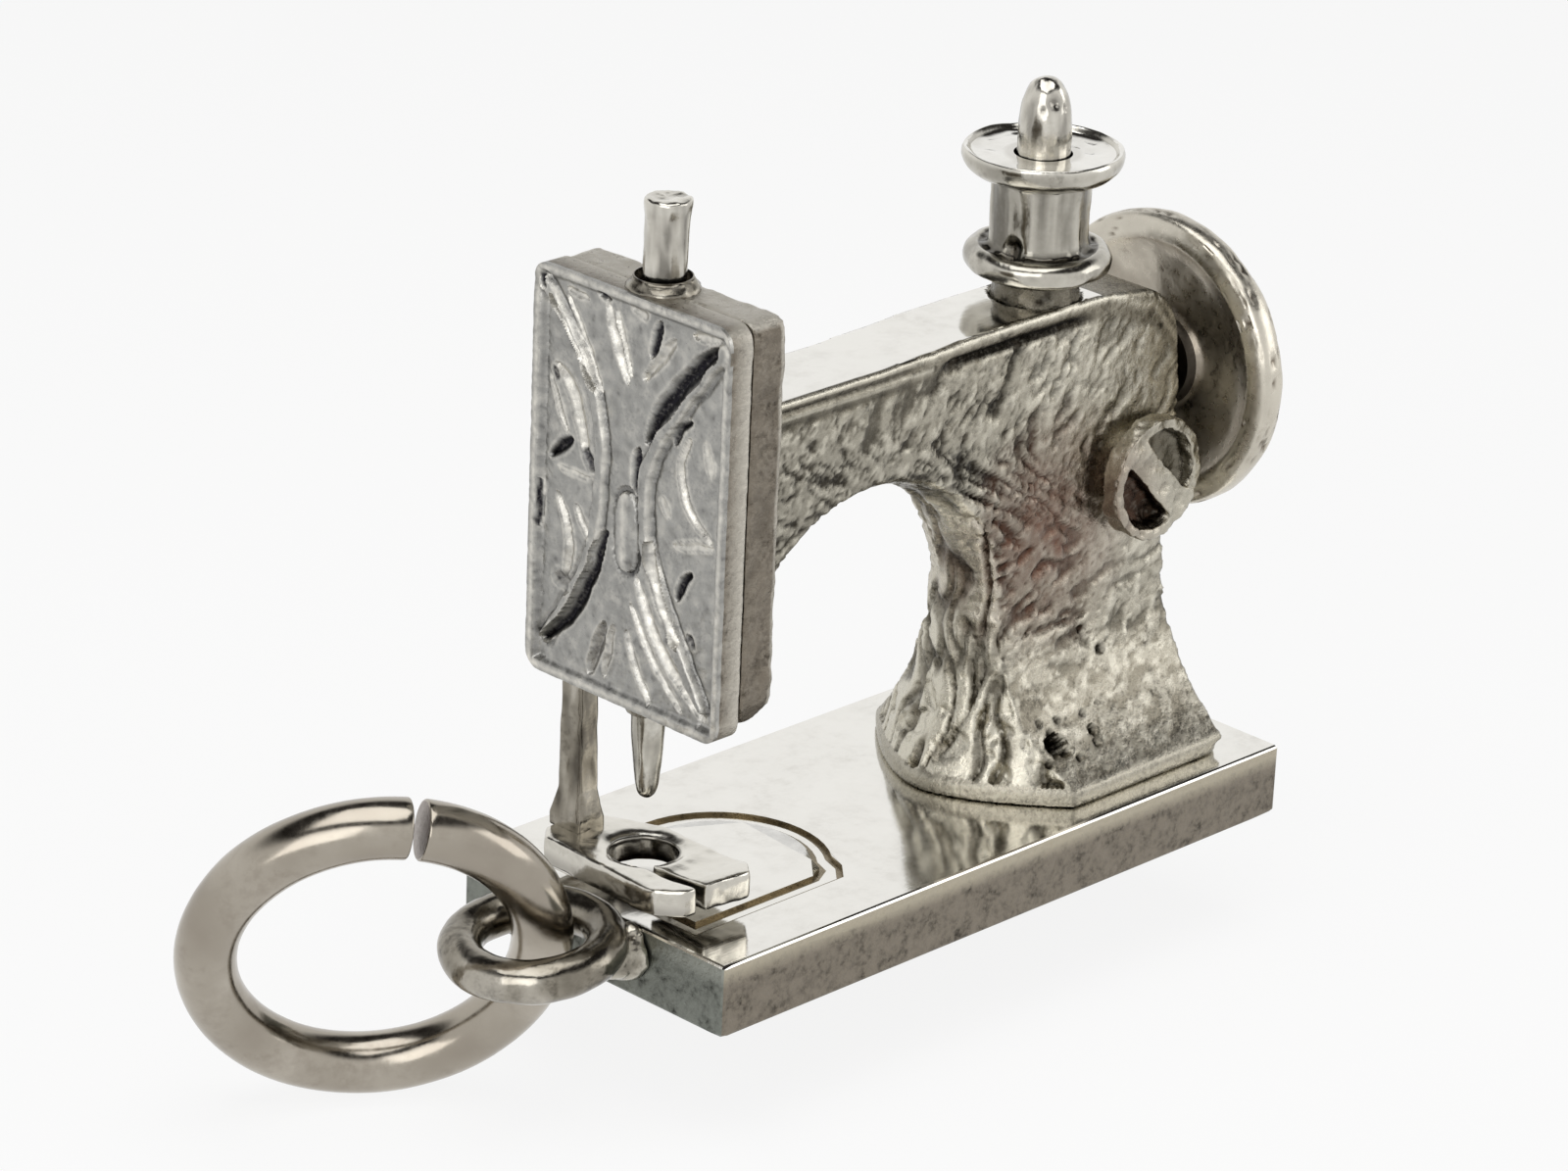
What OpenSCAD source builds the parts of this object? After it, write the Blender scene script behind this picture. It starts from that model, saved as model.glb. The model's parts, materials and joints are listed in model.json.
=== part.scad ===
// Small cast silver sewing machine charm with a working needle.
// Millimetres. +Z is up, +X runs from the needle end to the handwheel end, -Y is the front.
// The origin is the middle of the base's underside.

/* [Base] */
// Length of the base along X
base_length = 16; // [14:0.5:20]
// Width of the base along Y
base_width = 7.2; // [6.5:0.1:9]
// Thickness of the base
base_height = 1.5; // [1:0.1:2.5]
// Radius of the base's upright corners, 0 for square ones
base_corner_r = 0; // [0:0.05:1]
// Width of the line engraved round the needle plate
groove_width = 0.42; // [0.2:0.02:0.6]
// Depth of that line
groove_depth = 0.08; // [0.04:0.02:0.3]
// Length of the engraved needle plate
needle_plate_length = 5; // [4:0.1:6]
// Radius of the needle plate's round end
needle_plate_r = 2.15; // [1.6:0.05:2.6]

/* [Bail and jump ring] */
// Diameter of the hole in the bail
bail_hole_d = 1.9; // [1.7:0.05:2.6]
// Diameter of the bail's wire
bail_wire_d = 0.9; // [0.6:0.05:1.1]
// How far the bail's middle stands out from the end of the base
bail_reach = 1.6; // [1.4:0.05:1.8]
// Sideways place of the bail
bail_side = -0.08; // [-1:0.02:1]
// Height of the bail's middle above the underside
bail_height = 1.2; // [0.8:0.05:1.6]
// Angle at which the bail droops
bail_droop = 6.5; // [0:0.5:12]
// Diameter of the jump ring's wire
ring_wire_d = 1.2; // [0.8:0.05:1.3]
// Inner diameter of the jump ring
ring_inner_d = 5.2; // [4.5:0.1:7]
// Width of the gap in the jump ring
ring_gap = 0.25; // [0.1:0.05:0.5]
// Turn of the jump ring about the upright
ring_turn = 55; // [45:1:60]
// Lean of the jump ring out of level
ring_lean = 69.5; // [60:0.5:80]
// Where the gap stands round the ring
ring_gap_at = 186; // [150:1:220]
// Step from the bail's middle to the jump ring's wire
ring_step = 0.22; // [0.15:0.01:0.3]

/* [Arm and column] */
// Shift of the machine's mid plane from the middle of the base
mid_y = -0.25; // [-0.5:0.05:0.5]
// Thickness of the arm
arm_thickness = 2; // [1.8:0.05:2.6]
// Height of the arm's top
arm_top = 11.45; // [10.8:0.05:12.5]
// How far the column's foot stands in from the right-hand end of the base
column_inset = 1.05; // [0.8:0.05:1.6]
// Width of the column from its right side to the arch
column_waist = 5.47; // [5.2:0.01:6]
// Height of the arm's lower edge where it meets the head
arm_root = 6.3; // [6:0.05:6.4]
// Radius of the arch at its middle
arch_r = 3.43; // [3:0.05:3.6]
// Height of the arch's middle
arch_z = 5.25; // [4.8:0.05:5.3]
// Radius of the long curve down to the foot
foot_arch_r = 8; // [6:0.5:12]
// How strongly the arch rounds off towards the faces
arch_round = 0.3; // [0.1:0.02:0.4]
// Half depth of the column's foot
foot_half_depth = 2.8; // [2.2:0.05:3.2]
// Height at which the column starts to flare
flare_top = 5.5; // [4.5:0.1:6]
// Thickness of the plinth under the column
plinth_height = 0.35; // [0.2:0.05:0.8]
// Radius of the column's shoulder
shoulder_r = 1.3; // [0.8:0.05:1.5]
// Radius of the boss where the shaft leaves the arm
boss_r = 0.62; // [0.5:0.02:0.9]

/* [Head] */
// How far the face plate stands in from the left-hand end of the base
head_inset = 0.27; // [0.1:0.01:0.4]
// Thickness of the face plate
face_plate_t = 0.65; // [0.55:0.01:0.8]
// Thickness of the housing behind the face plate
housing_t = 0.84; // [0.8:0.01:1]
// Width of the head
head_width = 5.22; // [4.8:0.02:6]
// Height of the head's underside
head_bottom = 5.67; // [5.3:0.01:6]
// Height of the head itself
head_height = 8.24; // [7.9:0.02:9]
// Corner radius of the face plate
face_corner_r = 0.35; // [0.1:0.05:0.8]
// Lower corner radius of the housing
housing_corner_r = 0.6; // [0.2:0.05:1]
// Thickness of the skin in front of the mechanism
front_skin = 0.33; // [0.25:0.01:0.4]
// Thickness of the wall behind the mechanism
back_wall = 0.2; // [0.15:0.01:0.3]
// Thickness of the head's floor
floor_wall = 0.45; // [0.3:0.05:0.6]
// Thickness of the head's roof
roof_wall = 0.5; // [0.3:0.05:1]

/* [Needle and presser] */
// Diameter of the needle bar
bar_d = 0.88; // [0.7:0.02:0.9]
// Height to which the needle bar stands out of the head
bar_rise = 1.75; // [1.6:0.05:2.5]
// Width of the mushroomed edge at the bar's top
bar_lip = 0.06; // [0.02:0.01:0.12]
// Diameter of the needle where it leaves the head
needle_d = 0.72; // [0.5:0.02:0.8]
// Diameter of the needle's blunt tip
needle_tip_d = 0.4; // [0.2:0.02:0.5]
// Height of the needle's tip at the top of its stroke
needle_tip_z = 3.54; // [3.3:0.02:4]
// Height of the bush round the needle
lower_bush_h = 0.3; // [0.15:0.05:0.4]
// Height of the bush round the needle bar
top_bush_h = 0.22; // [0.1:0.02:0.4]
// Width of the presser bar along X
presser_w = 0.5; // [0.4:0.02:0.7]
// Depth of the presser bar along Y
presser_depth = 0.6; // [0.4:0.02:0.8]
// How far the presser bar stands behind the needle
presser_back = 1.8; // [1.7:0.05:1.9]
// How far the presser bar reaches up into the head
presser_tenon = 0.8; // [0.4:0.05:1.5]
// Height of the presser foot's top
foot_top = 2.4; // [2.2:0.05:2.7]
// Thickness of the presser foot
foot_t = 0.6; // [0.4:0.05:0.65]
// Width of the presser foot along X
foot_width = 2.32; // [2:0.02:2.5]
// Reach of the toes in front of the needle
foot_reach = 1.95; // [1.5:0.05:2.4]
// Radius of the needle hole in the presser foot
foot_hole_r = 0.65; // [0.5:0.01:0.75]
// Width of the slit between the toes
toe_slit = 0.16; // [0.08:0.02:0.3]

/* [Mechanism] */
// Height of the main shaft
shaft_z = 9.2; // [9.15:0.01:9.4]
// Diameter of the main shaft
shaft_d = 0.6; // [0.4:0.02:0.64]
// Radius of the crank
crank_r = 0.7; // [0.5:0.01:0.75]
// Diameter of the crank pin
pin_d = 0.4; // [0.3:0.02:0.44]
// Thickness of the crank disc
disc_t = 0.25; // [0.2:0.01:0.28]
// Thickness of the yoke
yoke_t = 0.2; // [0.15:0.01:0.24]
// Width of metal round the yoke's slot
yoke_rim = 0.24; // [0.15:0.01:0.3]
// Running clearance of every turning and sliding fit
fit_gap = 0.03; // [0.02:0.005:0.05]

/* [Handwheel] */
// Outer radius of the handwheel
wheel_r = 3.1; // [2.8:0.02:3.4]
// Gap between the column and the handwheel's inner face
wheel_gap = 0.1; // [0.08:0.01:0.2]
// Thickness of the handwheel's rim
wheel_t = 0.7; // [0.5:0.02:1]
// Width of the handwheel's rim, measured along the radius
rim_w = 0.5; // [0.3:0.02:0.8]
// Thickness of the handwheel's web
web_t = 0.26; // [0.2:0.01:0.4]
// Radius of the handwheel's hub
hub_r = 0.9; // [0.8:0.02:1.3]

/* [Spool] */
// How far the spool's axis stands in from the column's right side
spool_inset = 3.53; // [3:0.01:4]
// Radius of the spool's top flange
spool_top_r = 1.63; // [1.4:0.01:1.9]
// Radius of the spool's bottom flange
spool_bottom_r = 1.51; // [1.3:0.01:1.8]
// Radius of the spool's core
spool_core_r = 1.05; // [0.9:0.01:1.2]
// Height of the spool
spool_height = 2.6; // [2.2:0.02:3.5]
// Height of the spool's bottom flange
spool_flange_h = 0.6; // [0.4:0.02:0.8]
// Diameter of the spool pin
spool_pin_d = 1.1; // [0.8:0.02:1.2]
// How far the pin stands out of the spool
spool_pin_rise = 1.42; // [0.8:0.02:2]
// Height of the collar under the spool
seat_h = 0.47; // [0.3:0.01:0.8]
// Radius of the collar under the spool
seat_r = 0.92; // [0.8:0.01:0.98]

/* [Stitch knob] */
// How far the knob's middle stands in from the column's right side
knob_inset = 1.38; // [1.34:0.01:1.6]
// Height of the knob
knob_z = 7.47; // [7.2:0.01:7.8]
// Radius of the knob
knob_r = 1.3; // [1:0.02:1.36]
// Thickness of the knob's disc
knob_t = 0.5; // [0.3:0.02:0.8]
// Length of the neck behind the knob
knob_neck = 0.25; // [0.1:0.01:0.4]
// Depth of the two recesses in the knob's face
knob_recess = 0.16; // [0.08:0.01:0.25]
// Width of the knob's rim
knob_rim = 0.16; // [0.1:0.01:0.3]
// Width of the grip bar across the knob
knob_bar = 0.55; // [0.3:0.01:0.8]
// Angle of the grip bar
knob_turn = -45; // [-90:1:90]

/* [Hidden] */
$fn = 64;
eps = 0.01;
base_end = -base_length / 2;
column_right = base_length / 2 - column_inset;
arch_x = column_right - column_waist - arch_r;
head_front = base_end + head_inset;
wheel_x = column_right + wheel_gap;
spool_x = column_right - spool_inset;
knob_x = column_right - knob_inset;
plinth_top = base_height + plinth_height;
half_arm = arm_thickness / 2;
head_top = head_bottom + head_height;
seam_x = head_front + face_plate_t;
head_back = seam_x + housing_t;
cavity_front = head_front + front_skin;
cavity_back = head_back - back_wall;
disc_back = cavity_back - fit_gap;
disc_front = disc_back - disc_t;
yoke_back = disc_front - fit_gap;
yoke_front = yoke_back - yoke_t;
needle_x = cavity_back - fit_gap - bar_d / 2;
stroke = 2 * crank_r;
// A constant ratio and a true crank differ by at most 0.211 crank radii.
crank_error = 0.211 * crank_r;
slot_half_h = pin_d / 2 + crank_error + fit_gap;
slot_half_l = crank_r + pin_d / 2 + fit_gap;
yoke_half_h = slot_half_h + yoke_rim;
yoke_half_l = slot_half_l + yoke_rim;
disc_r = crank_r + pin_d / 2 + 0.12;
yoke_z = shaft_z + crank_r;
cavity_half = yoke_half_l + 2 * fit_gap;
cavity_bottom = head_bottom + floor_wall;
cavity_top = head_top - roof_wall;
bar_bottom = cavity_bottom + stroke + 0.18;
// The needle's tang, which sits in the bar's lower end.
tang_r = needle_d * 0.28;
tang_h = 0.6;
presser_x = needle_x - 0.09;
presser_y = mid_y + presser_back;
wheel_back = wheel_x + wheel_t;
hub_x = wheel_x + 0.15;
boss_x = column_right;
seat_floor = arm_top - 0.15;
spool_z = arm_top + seat_h;
// The spool pin's root and the knob's peg, which both sit in blind holes.
pin_root = seat_floor - 0.8;
peg_r = 0.3;
peg_depth = 0.5;
knob_back = mid_y - half_arm - knob_neck;
bail_x = base_end - bail_reach;
bail_mid_r = (bail_hole_d + bail_wire_d) / 2;
ring_mid_r = (ring_inner_d + ring_wire_d) / 2;
ring_r = ring_wire_d / 2;
// The foot's curve starts a hair inside the arch, so that the two cuts cross cleanly.
foot_arch_x = arch_x + arch_r - foot_arch_r - 0.03;
flare_step = foot_half_depth - half_arm;
flare_h = flare_top - plinth_top;
flare_r = (flare_h * flare_h + flare_step * flare_step) / (2 * flare_step);

// ---------- helpers ----------

// Points of an arc from angle a0 to a1.
function arc(cx, cy, r, a0, a1, n = 8) =
    [for (i = [0:n]) [cx + r * cos(a0 + (a1 - a0) * i / n), cy + r * sin(a0 + (a1 - a0) * i / n)]];

// How far the arch's cut widens at a distance d from the mid plane.
function round_off(d) = arch_round * pow(abs(d), 1.65);

// A flat rectangle with round corners, from the lower left corner. A radius of 0 leaves corners square.
module round_rect(w, h, r_low, r_high) {
    if (r_low + r_high > 0) {
        translate([r_low, 0]) square([w - 2 * r_low, h / 2]);
        translate([0, r_low]) square([w, h - r_low - r_high]);
        translate([r_high, h / 2]) square([w - 2 * r_high, h / 2]);
        if (r_low > 0)
            for (x = [r_low, w - r_low]) translate([x, r_low]) circle(r_low);
        if (r_high > 0)
            for (x = [r_high, w - r_high]) translate([x, h - r_high]) circle(r_high);
    } else {
        square([w, h]);
    }
}

// Extrudes a Y-Z outline along X from x0 to x1.
module along_x(x0, x1) {
    translate([x0, 0, 0]) rotate([90, 0, 90]) linear_extrude(x1 - x0) children();
}

// A cylinder along X.
module rod_x(x0, x1, y, z, r) {
    translate([x0, y, z]) rotate([0, 90, 0]) cylinder(h = x1 - x0, r = r);
}

// A cylinder along Y, from y0 to y1.
module rod_y(y0, y1, x, z, r) {
    translate([x, y1, z]) rotate([90, 0, 0]) cylinder(h = y1 - y0, r = r);
}

// Turns a profile, radius across and depth up, about X. Depth runs along +X.
module turned_x(x, y, z) {
    translate([x, y, z]) rotate([0, 90, 0]) rotate_extrude($fn = 96) children();
}

// ---------- base ----------

// Outline of the needle plate, drawn in by d. Its front right corner is nearly square.
module needle_plate(d) {
    end_margin = 0.55;
    side_step = 0.15;
    left = base_end + end_margin;
    arc_x = left + needle_plate_length - needle_plate_r;
    arc_y = mid_y + side_step;
    low = arc_y - needle_plate_r;
    translate([arc_x, arc_y]) circle(needle_plate_r - d);
    translate([left + d, low + d]) square([arc_x - left - d, 2 * needle_plate_r - 2 * d]);
    polygon([
        [arc_x, arc_y], [arc_x + needle_plate_r - d, arc_y],
        [arc_x + needle_plate_r * 0.72 - d, low + 0.4 + d / 2],
        [arc_x + needle_plate_r * 0.55 - d, low + d], [arc_x, low + d]
    ]);
}

module base_plate() {
    color("silver")
    difference() {
        translate([base_end, -base_width / 2, 0])
            linear_extrude(base_height)
                round_rect(base_length, base_width, base_corner_r, base_corner_r);
        translate([0, 0, base_height - groove_depth])
            linear_extrude(groove_depth + eps)
                difference() {
                    needle_plate(0);
                    needle_plate(groove_width);
                }
    }
}

// ---------- bail and jump ring ----------

module bail_torus() {
    translate([bail_x, bail_side, bail_height])
        rotate([0, -bail_droop, 0])
            rotate_extrude($fn = 96) translate([bail_mid_r, 0]) circle(bail_wire_d / 2, $fn = 32);
}

module bail() {
    color("lightgray")
    difference() {
        bail_torus();
        // Filed flat where it is soldered to the end of the base.
        translate([base_end, -base_width, -base_height]) cube([base_width, 2 * base_width, 4 * base_height]);
    }
}

module bail_solder() {
    // The bead lies at the bail's front edge, below its middle.
    to_front = 0.95;
    drop = 0.42;
    color("gainsboro")
    difference() {
        translate([base_end, bail_side - to_front, bail_height - drop])
            rotate([0, -90, 0]) cylinder(h = bail_reach * 0.55, r1 = bail_wire_d * 0.75, r2 = bail_wire_d * 0.4);
        bail_torus();
    }
}

module jump_ring() {
    gap_angle = 360 * ring_gap / (2 * PI * ring_mid_r);
    color("rosybrown")
    translate([bail_x + ring_step, bail_side, bail_height])
        rotate([0, ring_lean, ring_turn])
            translate([0, ring_mid_r, 0])
                rotate([0, 0, ring_gap_at + gap_angle / 2])
                    rotate_extrude(angle = 360 - gap_angle, $fn = 96)
                        translate([ring_mid_r, 0]) circle(ring_r, $fn = 48);
}

// ---------- arm and column ----------

// Side view of the casting, before the arch is cut.
module arm_outline() {
    polygon(concat(
        [[head_back, arm_root], [head_back, arm_top - 0.1]],
        [[arch_x - 2.15, arm_top - 0.14], [arch_x, arm_top - 0.13], [arch_x + 1.35, arm_top - 0.08]],
        [[arch_x + 2.75, arm_top - 0.02], [arch_x + 4.15, arm_top], [arch_x + 6.35, arm_top]],
        arc(column_right - 0.2 - shoulder_r, arm_top - 0.15 - shoulder_r, shoulder_r, 78, 0, 8),
        [[column_right - 0.03, shaft_z - 0.4], [column_right - 0.16, 6.6]],
        [[column_right - 0.24, 4.8], [column_right - 0.14, 3.2], [column_right - 0.05, plinth_top - 0.1]],
        [[foot_arch_x + foot_arch_r - 1.4, plinth_top - 0.1], [foot_arch_x + foot_arch_r - 2.2, arch_z]],
        [[arch_x, arch_z], [arch_x - 3.19, arm_root + 0.15]]
    ));
}

// End view of the casting: a slab that flares to its foot.
module arm_depth() {
    difference() {
        translate([mid_y - foot_half_depth, plinth_top - 0.1])
            square([2 * foot_half_depth, arm_top - plinth_top + 1]);
        for (s = [-1, 1]) {
            translate([mid_y + s * (half_arm + flare_r), flare_top]) circle(flare_r, $fn = 128);
            translate([mid_y + s * (half_arm + foot_half_depth) - foot_half_depth, flare_top])
                square([2 * foot_half_depth, arm_top]);
        }
    }
}

// A round cut about Y that leaves the arch with a full, rounded edge.
module arch_cut(r) {
    w = foot_half_depth + 0.3;
    n = 16;
    rotate([-90, 0, 0])
        rotate_extrude($fn = 128)
            polygon(concat(
                [[0, -w]],
                [for (i = [0:n]) let (d = w * (2 * i / n - 1)) [r + round_off(d), d]],
                [[0, w]]
            ));
}

// Plan of the plinth: its left side follows the arch's foot.
module plinth_plan() {
    n = 14;
    ledge = 0.06;
    fall = arch_z - plinth_top;
    r = 0.5;
    polygon(concat(
        [for (i = [0:n])
            let (d = foot_half_depth * (2 * i / n - 1), reach = foot_arch_r + round_off(d))
            [foot_arch_x + sqrt(reach * reach - fall * fall) - ledge, mid_y - d]],
        arc(column_right - r, mid_y - foot_half_depth + r, r, -90, 0, 6),
        arc(column_right - r, mid_y + foot_half_depth - r, r, 0, 90, 6)
    ));
}

module arm_column() {
    color("darkgray")
    difference() {
        union() {
            difference() {
                intersection() {
                    translate([0, mid_y + foot_half_depth + 1, 0])
                        rotate([90, 0, 0]) linear_extrude(2 * foot_half_depth + 2) arm_outline();
                    along_x(head_back - 1, column_right + 1) arm_depth();
                }
                translate([arch_x, mid_y, arch_z]) arch_cut(arch_r);
                intersection() {
                    translate([foot_arch_x, mid_y, arch_z]) arch_cut(foot_arch_r);
                    translate([arch_x, mid_y - 2 * foot_half_depth, 0])
                        cube([foot_arch_r, 4 * foot_half_depth, arch_z]);
                }
            }
            translate([0, 0, base_height]) linear_extrude(plinth_height) plinth_plan();
            rod_x(column_right - 0.7, boss_x, mid_y, shaft_z, boss_r);
        }
        // Bore of the main shaft
        rod_x(head_back - 1, boss_x + 1, mid_y, shaft_z, shaft_d / 2 + fit_gap);
        // Seat and hole of the spool pin
        translate([spool_x, mid_y, seat_floor]) cylinder(h = 2, r = seat_r);
        translate([spool_x, mid_y, pin_root]) cylinder(h = 2, r = spool_pin_d / 2);
        // Hole of the knob's peg
        rod_y(mid_y - half_arm - 1, mid_y - half_arm + peg_depth, knob_x, knob_z, peg_r);
    }
}

// ---------- head ----------

// The room inside the head, shared by the plate and the housing.
module head_room() {
    translate([cavity_front, mid_y - cavity_half, cavity_bottom])
        cube([cavity_back - cavity_front, 2 * cavity_half, cavity_top - cavity_bottom]);
    // Way of the needle bar through the roof
    translate([needle_x, mid_y, cavity_top - eps]) cylinder(h = roof_wall + 1, r = bar_d / 2 + fit_gap);
    // Way of the needle through the floor
    translate([needle_x, mid_y, head_bottom - 1]) cylinder(h = floor_wall + 1 + eps, r = needle_d / 2 + fit_gap);
    // Socket of the presser bar
    translate([presser_x - presser_w / 2, presser_y - presser_depth / 2, head_bottom - 1])
        cube([presser_w, presser_depth, presser_tenon + 1]);
    // Way of the main shaft through the back wall
    rod_x(cavity_back - eps, head_back + 1, mid_y, shaft_z, shaft_d / 2 + fit_gap);
}

module face_plate() {
    color("lightsteelblue")
    difference() {
        along_x(head_front, seam_x)
            translate([mid_y - head_width / 2, head_bottom])
                round_rect(head_width, head_height, face_corner_r, face_corner_r);
        head_room();
    }
}

module head_housing() {
    color("slategray")
    difference() {
        along_x(seam_x, head_back)
            translate([mid_y - head_width / 2, head_bottom])
                round_rect(head_width, head_height, housing_corner_r, face_corner_r);
        head_room();
    }
}

module top_bush() {
    color("silver")
    translate([needle_x, mid_y, head_top])
        difference() {
            cylinder(h = top_bush_h, r1 = bar_d / 2 + 0.2, r2 = bar_d / 2 + 0.12);
            translate([0, 0, -1]) cylinder(h = 3, r = bar_d / 2 + fit_gap);
        }
}

module lower_bush() {
    color("silver")
    translate([needle_x, mid_y, head_bottom - lower_bush_h])
        difference() {
            cylinder(h = lower_bush_h, r1 = needle_d / 2 + 0.11, r2 = needle_d / 2 + 0.16);
            translate([0, 0, -1]) cylinder(h = 3, r = needle_d / 2 + fit_gap);
        }
}

// ---------- needle ----------

module needle_bar() {
    tip = head_top + bar_rise;
    color("whitesmoke")
    difference() {
        union() {
            translate([needle_x, mid_y, bar_bottom]) cylinder(h = tip - bar_bottom, r = bar_d / 2);
            translate([needle_x, mid_y, tip - 0.22]) cylinder(h = 0.22, r1 = bar_d / 2, r2 = bar_d / 2 + bar_lip);
        }
        // Flat that clears the crank disc and carries the yoke
        translate([yoke_front, mid_y - bar_d, shaft_z - disc_r - 0.15])
            cube([bar_d, 2 * bar_d, 2 * disc_r + stroke + 0.3]);
        // Socket of the needle
        translate([needle_x, mid_y, bar_bottom - 1]) cylinder(h = 1 + tang_h, r = tang_r);
    }
}

module needle_yoke() {
    color("burlywood")
    along_x(yoke_front, yoke_back)
        difference() {
            translate([mid_y - yoke_half_l, yoke_z - yoke_half_h])
                round_rect(2 * yoke_half_l, 2 * yoke_half_h, 0.2, 0.2);
            translate([mid_y - slot_half_l, yoke_z - slot_half_h])
                square([2 * slot_half_l, 2 * slot_half_h]);
        }
}

module needle() {
    tip_r = needle_tip_d / 2;
    cone_top = head_bottom - lower_bush_h - 0.1;
    color("lightgray")
    translate([needle_x, mid_y, 0]) {
        translate([0, 0, bar_bottom - eps]) cylinder(h = tang_h + eps, r = tang_r);
        translate([0, 0, cone_top]) cylinder(h = bar_bottom - cone_top, r = needle_d / 2);
        translate([0, 0, needle_tip_z + tip_r])
            cylinder(h = cone_top - needle_tip_z - tip_r, r1 = tip_r, r2 = needle_d / 2);
        translate([0, 0, needle_tip_z + tip_r]) sphere(tip_r, $fn = 48);
    }
}

module presser_bar() {
    color("darkgray")
    translate([presser_x - presser_w / 2, presser_y - presser_depth / 2, foot_top])
        cube([presser_w, presser_depth, head_bottom + presser_tenon - foot_top]);
}

module presser_foot() {
    x0 = needle_x - foot_width / 2;
    x1 = needle_x + foot_width / 2;
    y0 = mid_y - foot_reach;
    y1 = presser_y + presser_depth / 2;
    color("gainsboro")
    translate([0, 0, foot_top - foot_t])
        linear_extrude(foot_t)
            difference() {
                polygon([
                    [x0, y0 + 0.55], [x0 + 0.4, y0], [x1 - 0.35, y0 - 0.15], [x1, y0 + 0.25],
                    [x1, mid_y + 0.6], [x1 - 0.5, y1 - 0.35], [x1 - 0.75, y1],
                    [x0 + 0.5, y1], [x0 + 0.15, y1 - 0.35]
                ]);
                translate([needle_x + 0.1, mid_y + 0.1]) circle(foot_hole_r);
                translate([needle_x - 0.35 - toe_slit / 2, y0 - 0.5]) square([toe_slit, foot_reach + 0.2]);
            }
}

// ---------- shaft and crank ----------

module main_shaft() {
    color("lightgray")
    rod_x(disc_front, wheel_back, mid_y, shaft_z, shaft_d / 2);
}

module crank_disc() {
    color("burlywood")
    difference() {
        rod_x(disc_front, disc_back, mid_y, shaft_z, disc_r);
        rod_x(disc_front - 1, disc_back + 1, mid_y, shaft_z, shaft_d / 2);
        rod_x(disc_front - 1, disc_back + 1, mid_y, shaft_z + crank_r, pin_d / 2);
    }
}

module crank_pin() {
    color("goldenrod")
    rod_x(yoke_front + fit_gap, disc_back, mid_y, shaft_z + crank_r, pin_d / 2);
}

module wheel_collar() {
    color("silver")
    difference() {
        rod_x(boss_x + fit_gap, hub_x, mid_y, shaft_z, boss_r);
        rod_x(boss_x - 1, hub_x + 1, mid_y, shaft_z, shaft_d / 2);
    }
}

module handwheel() {
    web_x = wheel_x + wheel_t / 2 - web_t / 2 + 0.08;
    inner = wheel_r - rim_w - 0.1;
    color("gray")
    turned_x(0, mid_y, shaft_z)
        polygon([
            [shaft_d / 2, hub_x], [hub_r, hub_x], [hub_r + 0.15, web_x], [inner - 0.25, web_x],
            [inner, wheel_x + 0.05], [inner + 0.08, wheel_x], [wheel_r - 0.2, wheel_x],
            [wheel_r - 0.08, wheel_x + 0.07], [wheel_r, wheel_x + 0.25], [wheel_r, wheel_back - 0.2],
            [wheel_r - 0.09, wheel_back - 0.05], [wheel_r - 0.24, wheel_back],
            [inner, wheel_back], [inner - 0.15, web_x + web_t], [hub_r + 0.15, web_x + web_t],
            [hub_r, wheel_back], [shaft_d / 2, wheel_back]
        ]);
}

module shaft_rivet() {
    dome_r = 0.55;
    color("lightgray")
    intersection() {
        translate([wheel_back - 0.35, mid_y, shaft_z]) sphere(dome_r + 0.03, $fn = 64);
        rod_x(wheel_back, wheel_back + 1, mid_y, shaft_z, dome_r);
    }
}

// ---------- spool ----------

module spool_seat() {
    color("silver")
    translate([spool_x, mid_y, seat_floor])
        difference() {
            cylinder(h = spool_z - fit_gap - seat_floor, r = seat_r);
            translate([0, 0, -1]) cylinder(h = 4, r = spool_pin_d / 2);
        }
}

module spool_pin() {
    r = spool_pin_d / 2;
    top = spool_z + spool_height + spool_pin_rise;
    color("whitesmoke")
    translate([spool_x, mid_y, 0])
        rotate_extrude()
            polygon(concat(
                [[0, pin_root], [r, pin_root], [r, top - 0.85], [r * 0.92, top - 0.5]],
                [[r * 0.74, top - 0.22], [r * 0.42, top - 0.05], [0, top]]
            ));
}

module spool() {
    bore = spool_pin_d / 2 + fit_gap;
    f = spool_flange_h;
    b = spool_bottom_r;
    h = spool_height;
    color("silver")
    translate([spool_x, mid_y, spool_z])
        rotate_extrude($fn = 96)
            polygon(concat(
                [[bore, 0], [b - 0.3, 0]],
                arc(b - f / 2, f / 2, f / 2, -75, 75, 8),
                [[spool_core_r, f], [spool_core_r, h - 0.8], [spool_core_r + 0.12, h - 0.62]],
                [[spool_top_r - 0.1, h - 0.34]],
                arc(spool_top_r - 0.14, h - 0.2, 0.14, -60, 80, 6),
                [[bore, h - 0.04]]
            ));
}

// ---------- stitch knob ----------

module stitch_knob() {
    face = knob_back - knob_t;
    color("dimgray")
    difference() {
        union() {
            rod_y(face, knob_back, knob_x, knob_z, knob_r);
            rod_y(knob_back - eps, mid_y - half_arm, knob_x, knob_z, knob_r * 0.62);
            rod_y(knob_back, mid_y - half_arm + peg_depth, knob_x, knob_z, peg_r);
        }
        difference() {
            rod_y(face - 1, face + knob_recess, knob_x, knob_z, knob_r - knob_rim);
            translate([knob_x, face, knob_z]) rotate([0, knob_turn, 0])
                cube([knob_bar, 3, 4 * knob_r], center = true);
        }
    }
}

// ---------- assembly ----------

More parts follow.
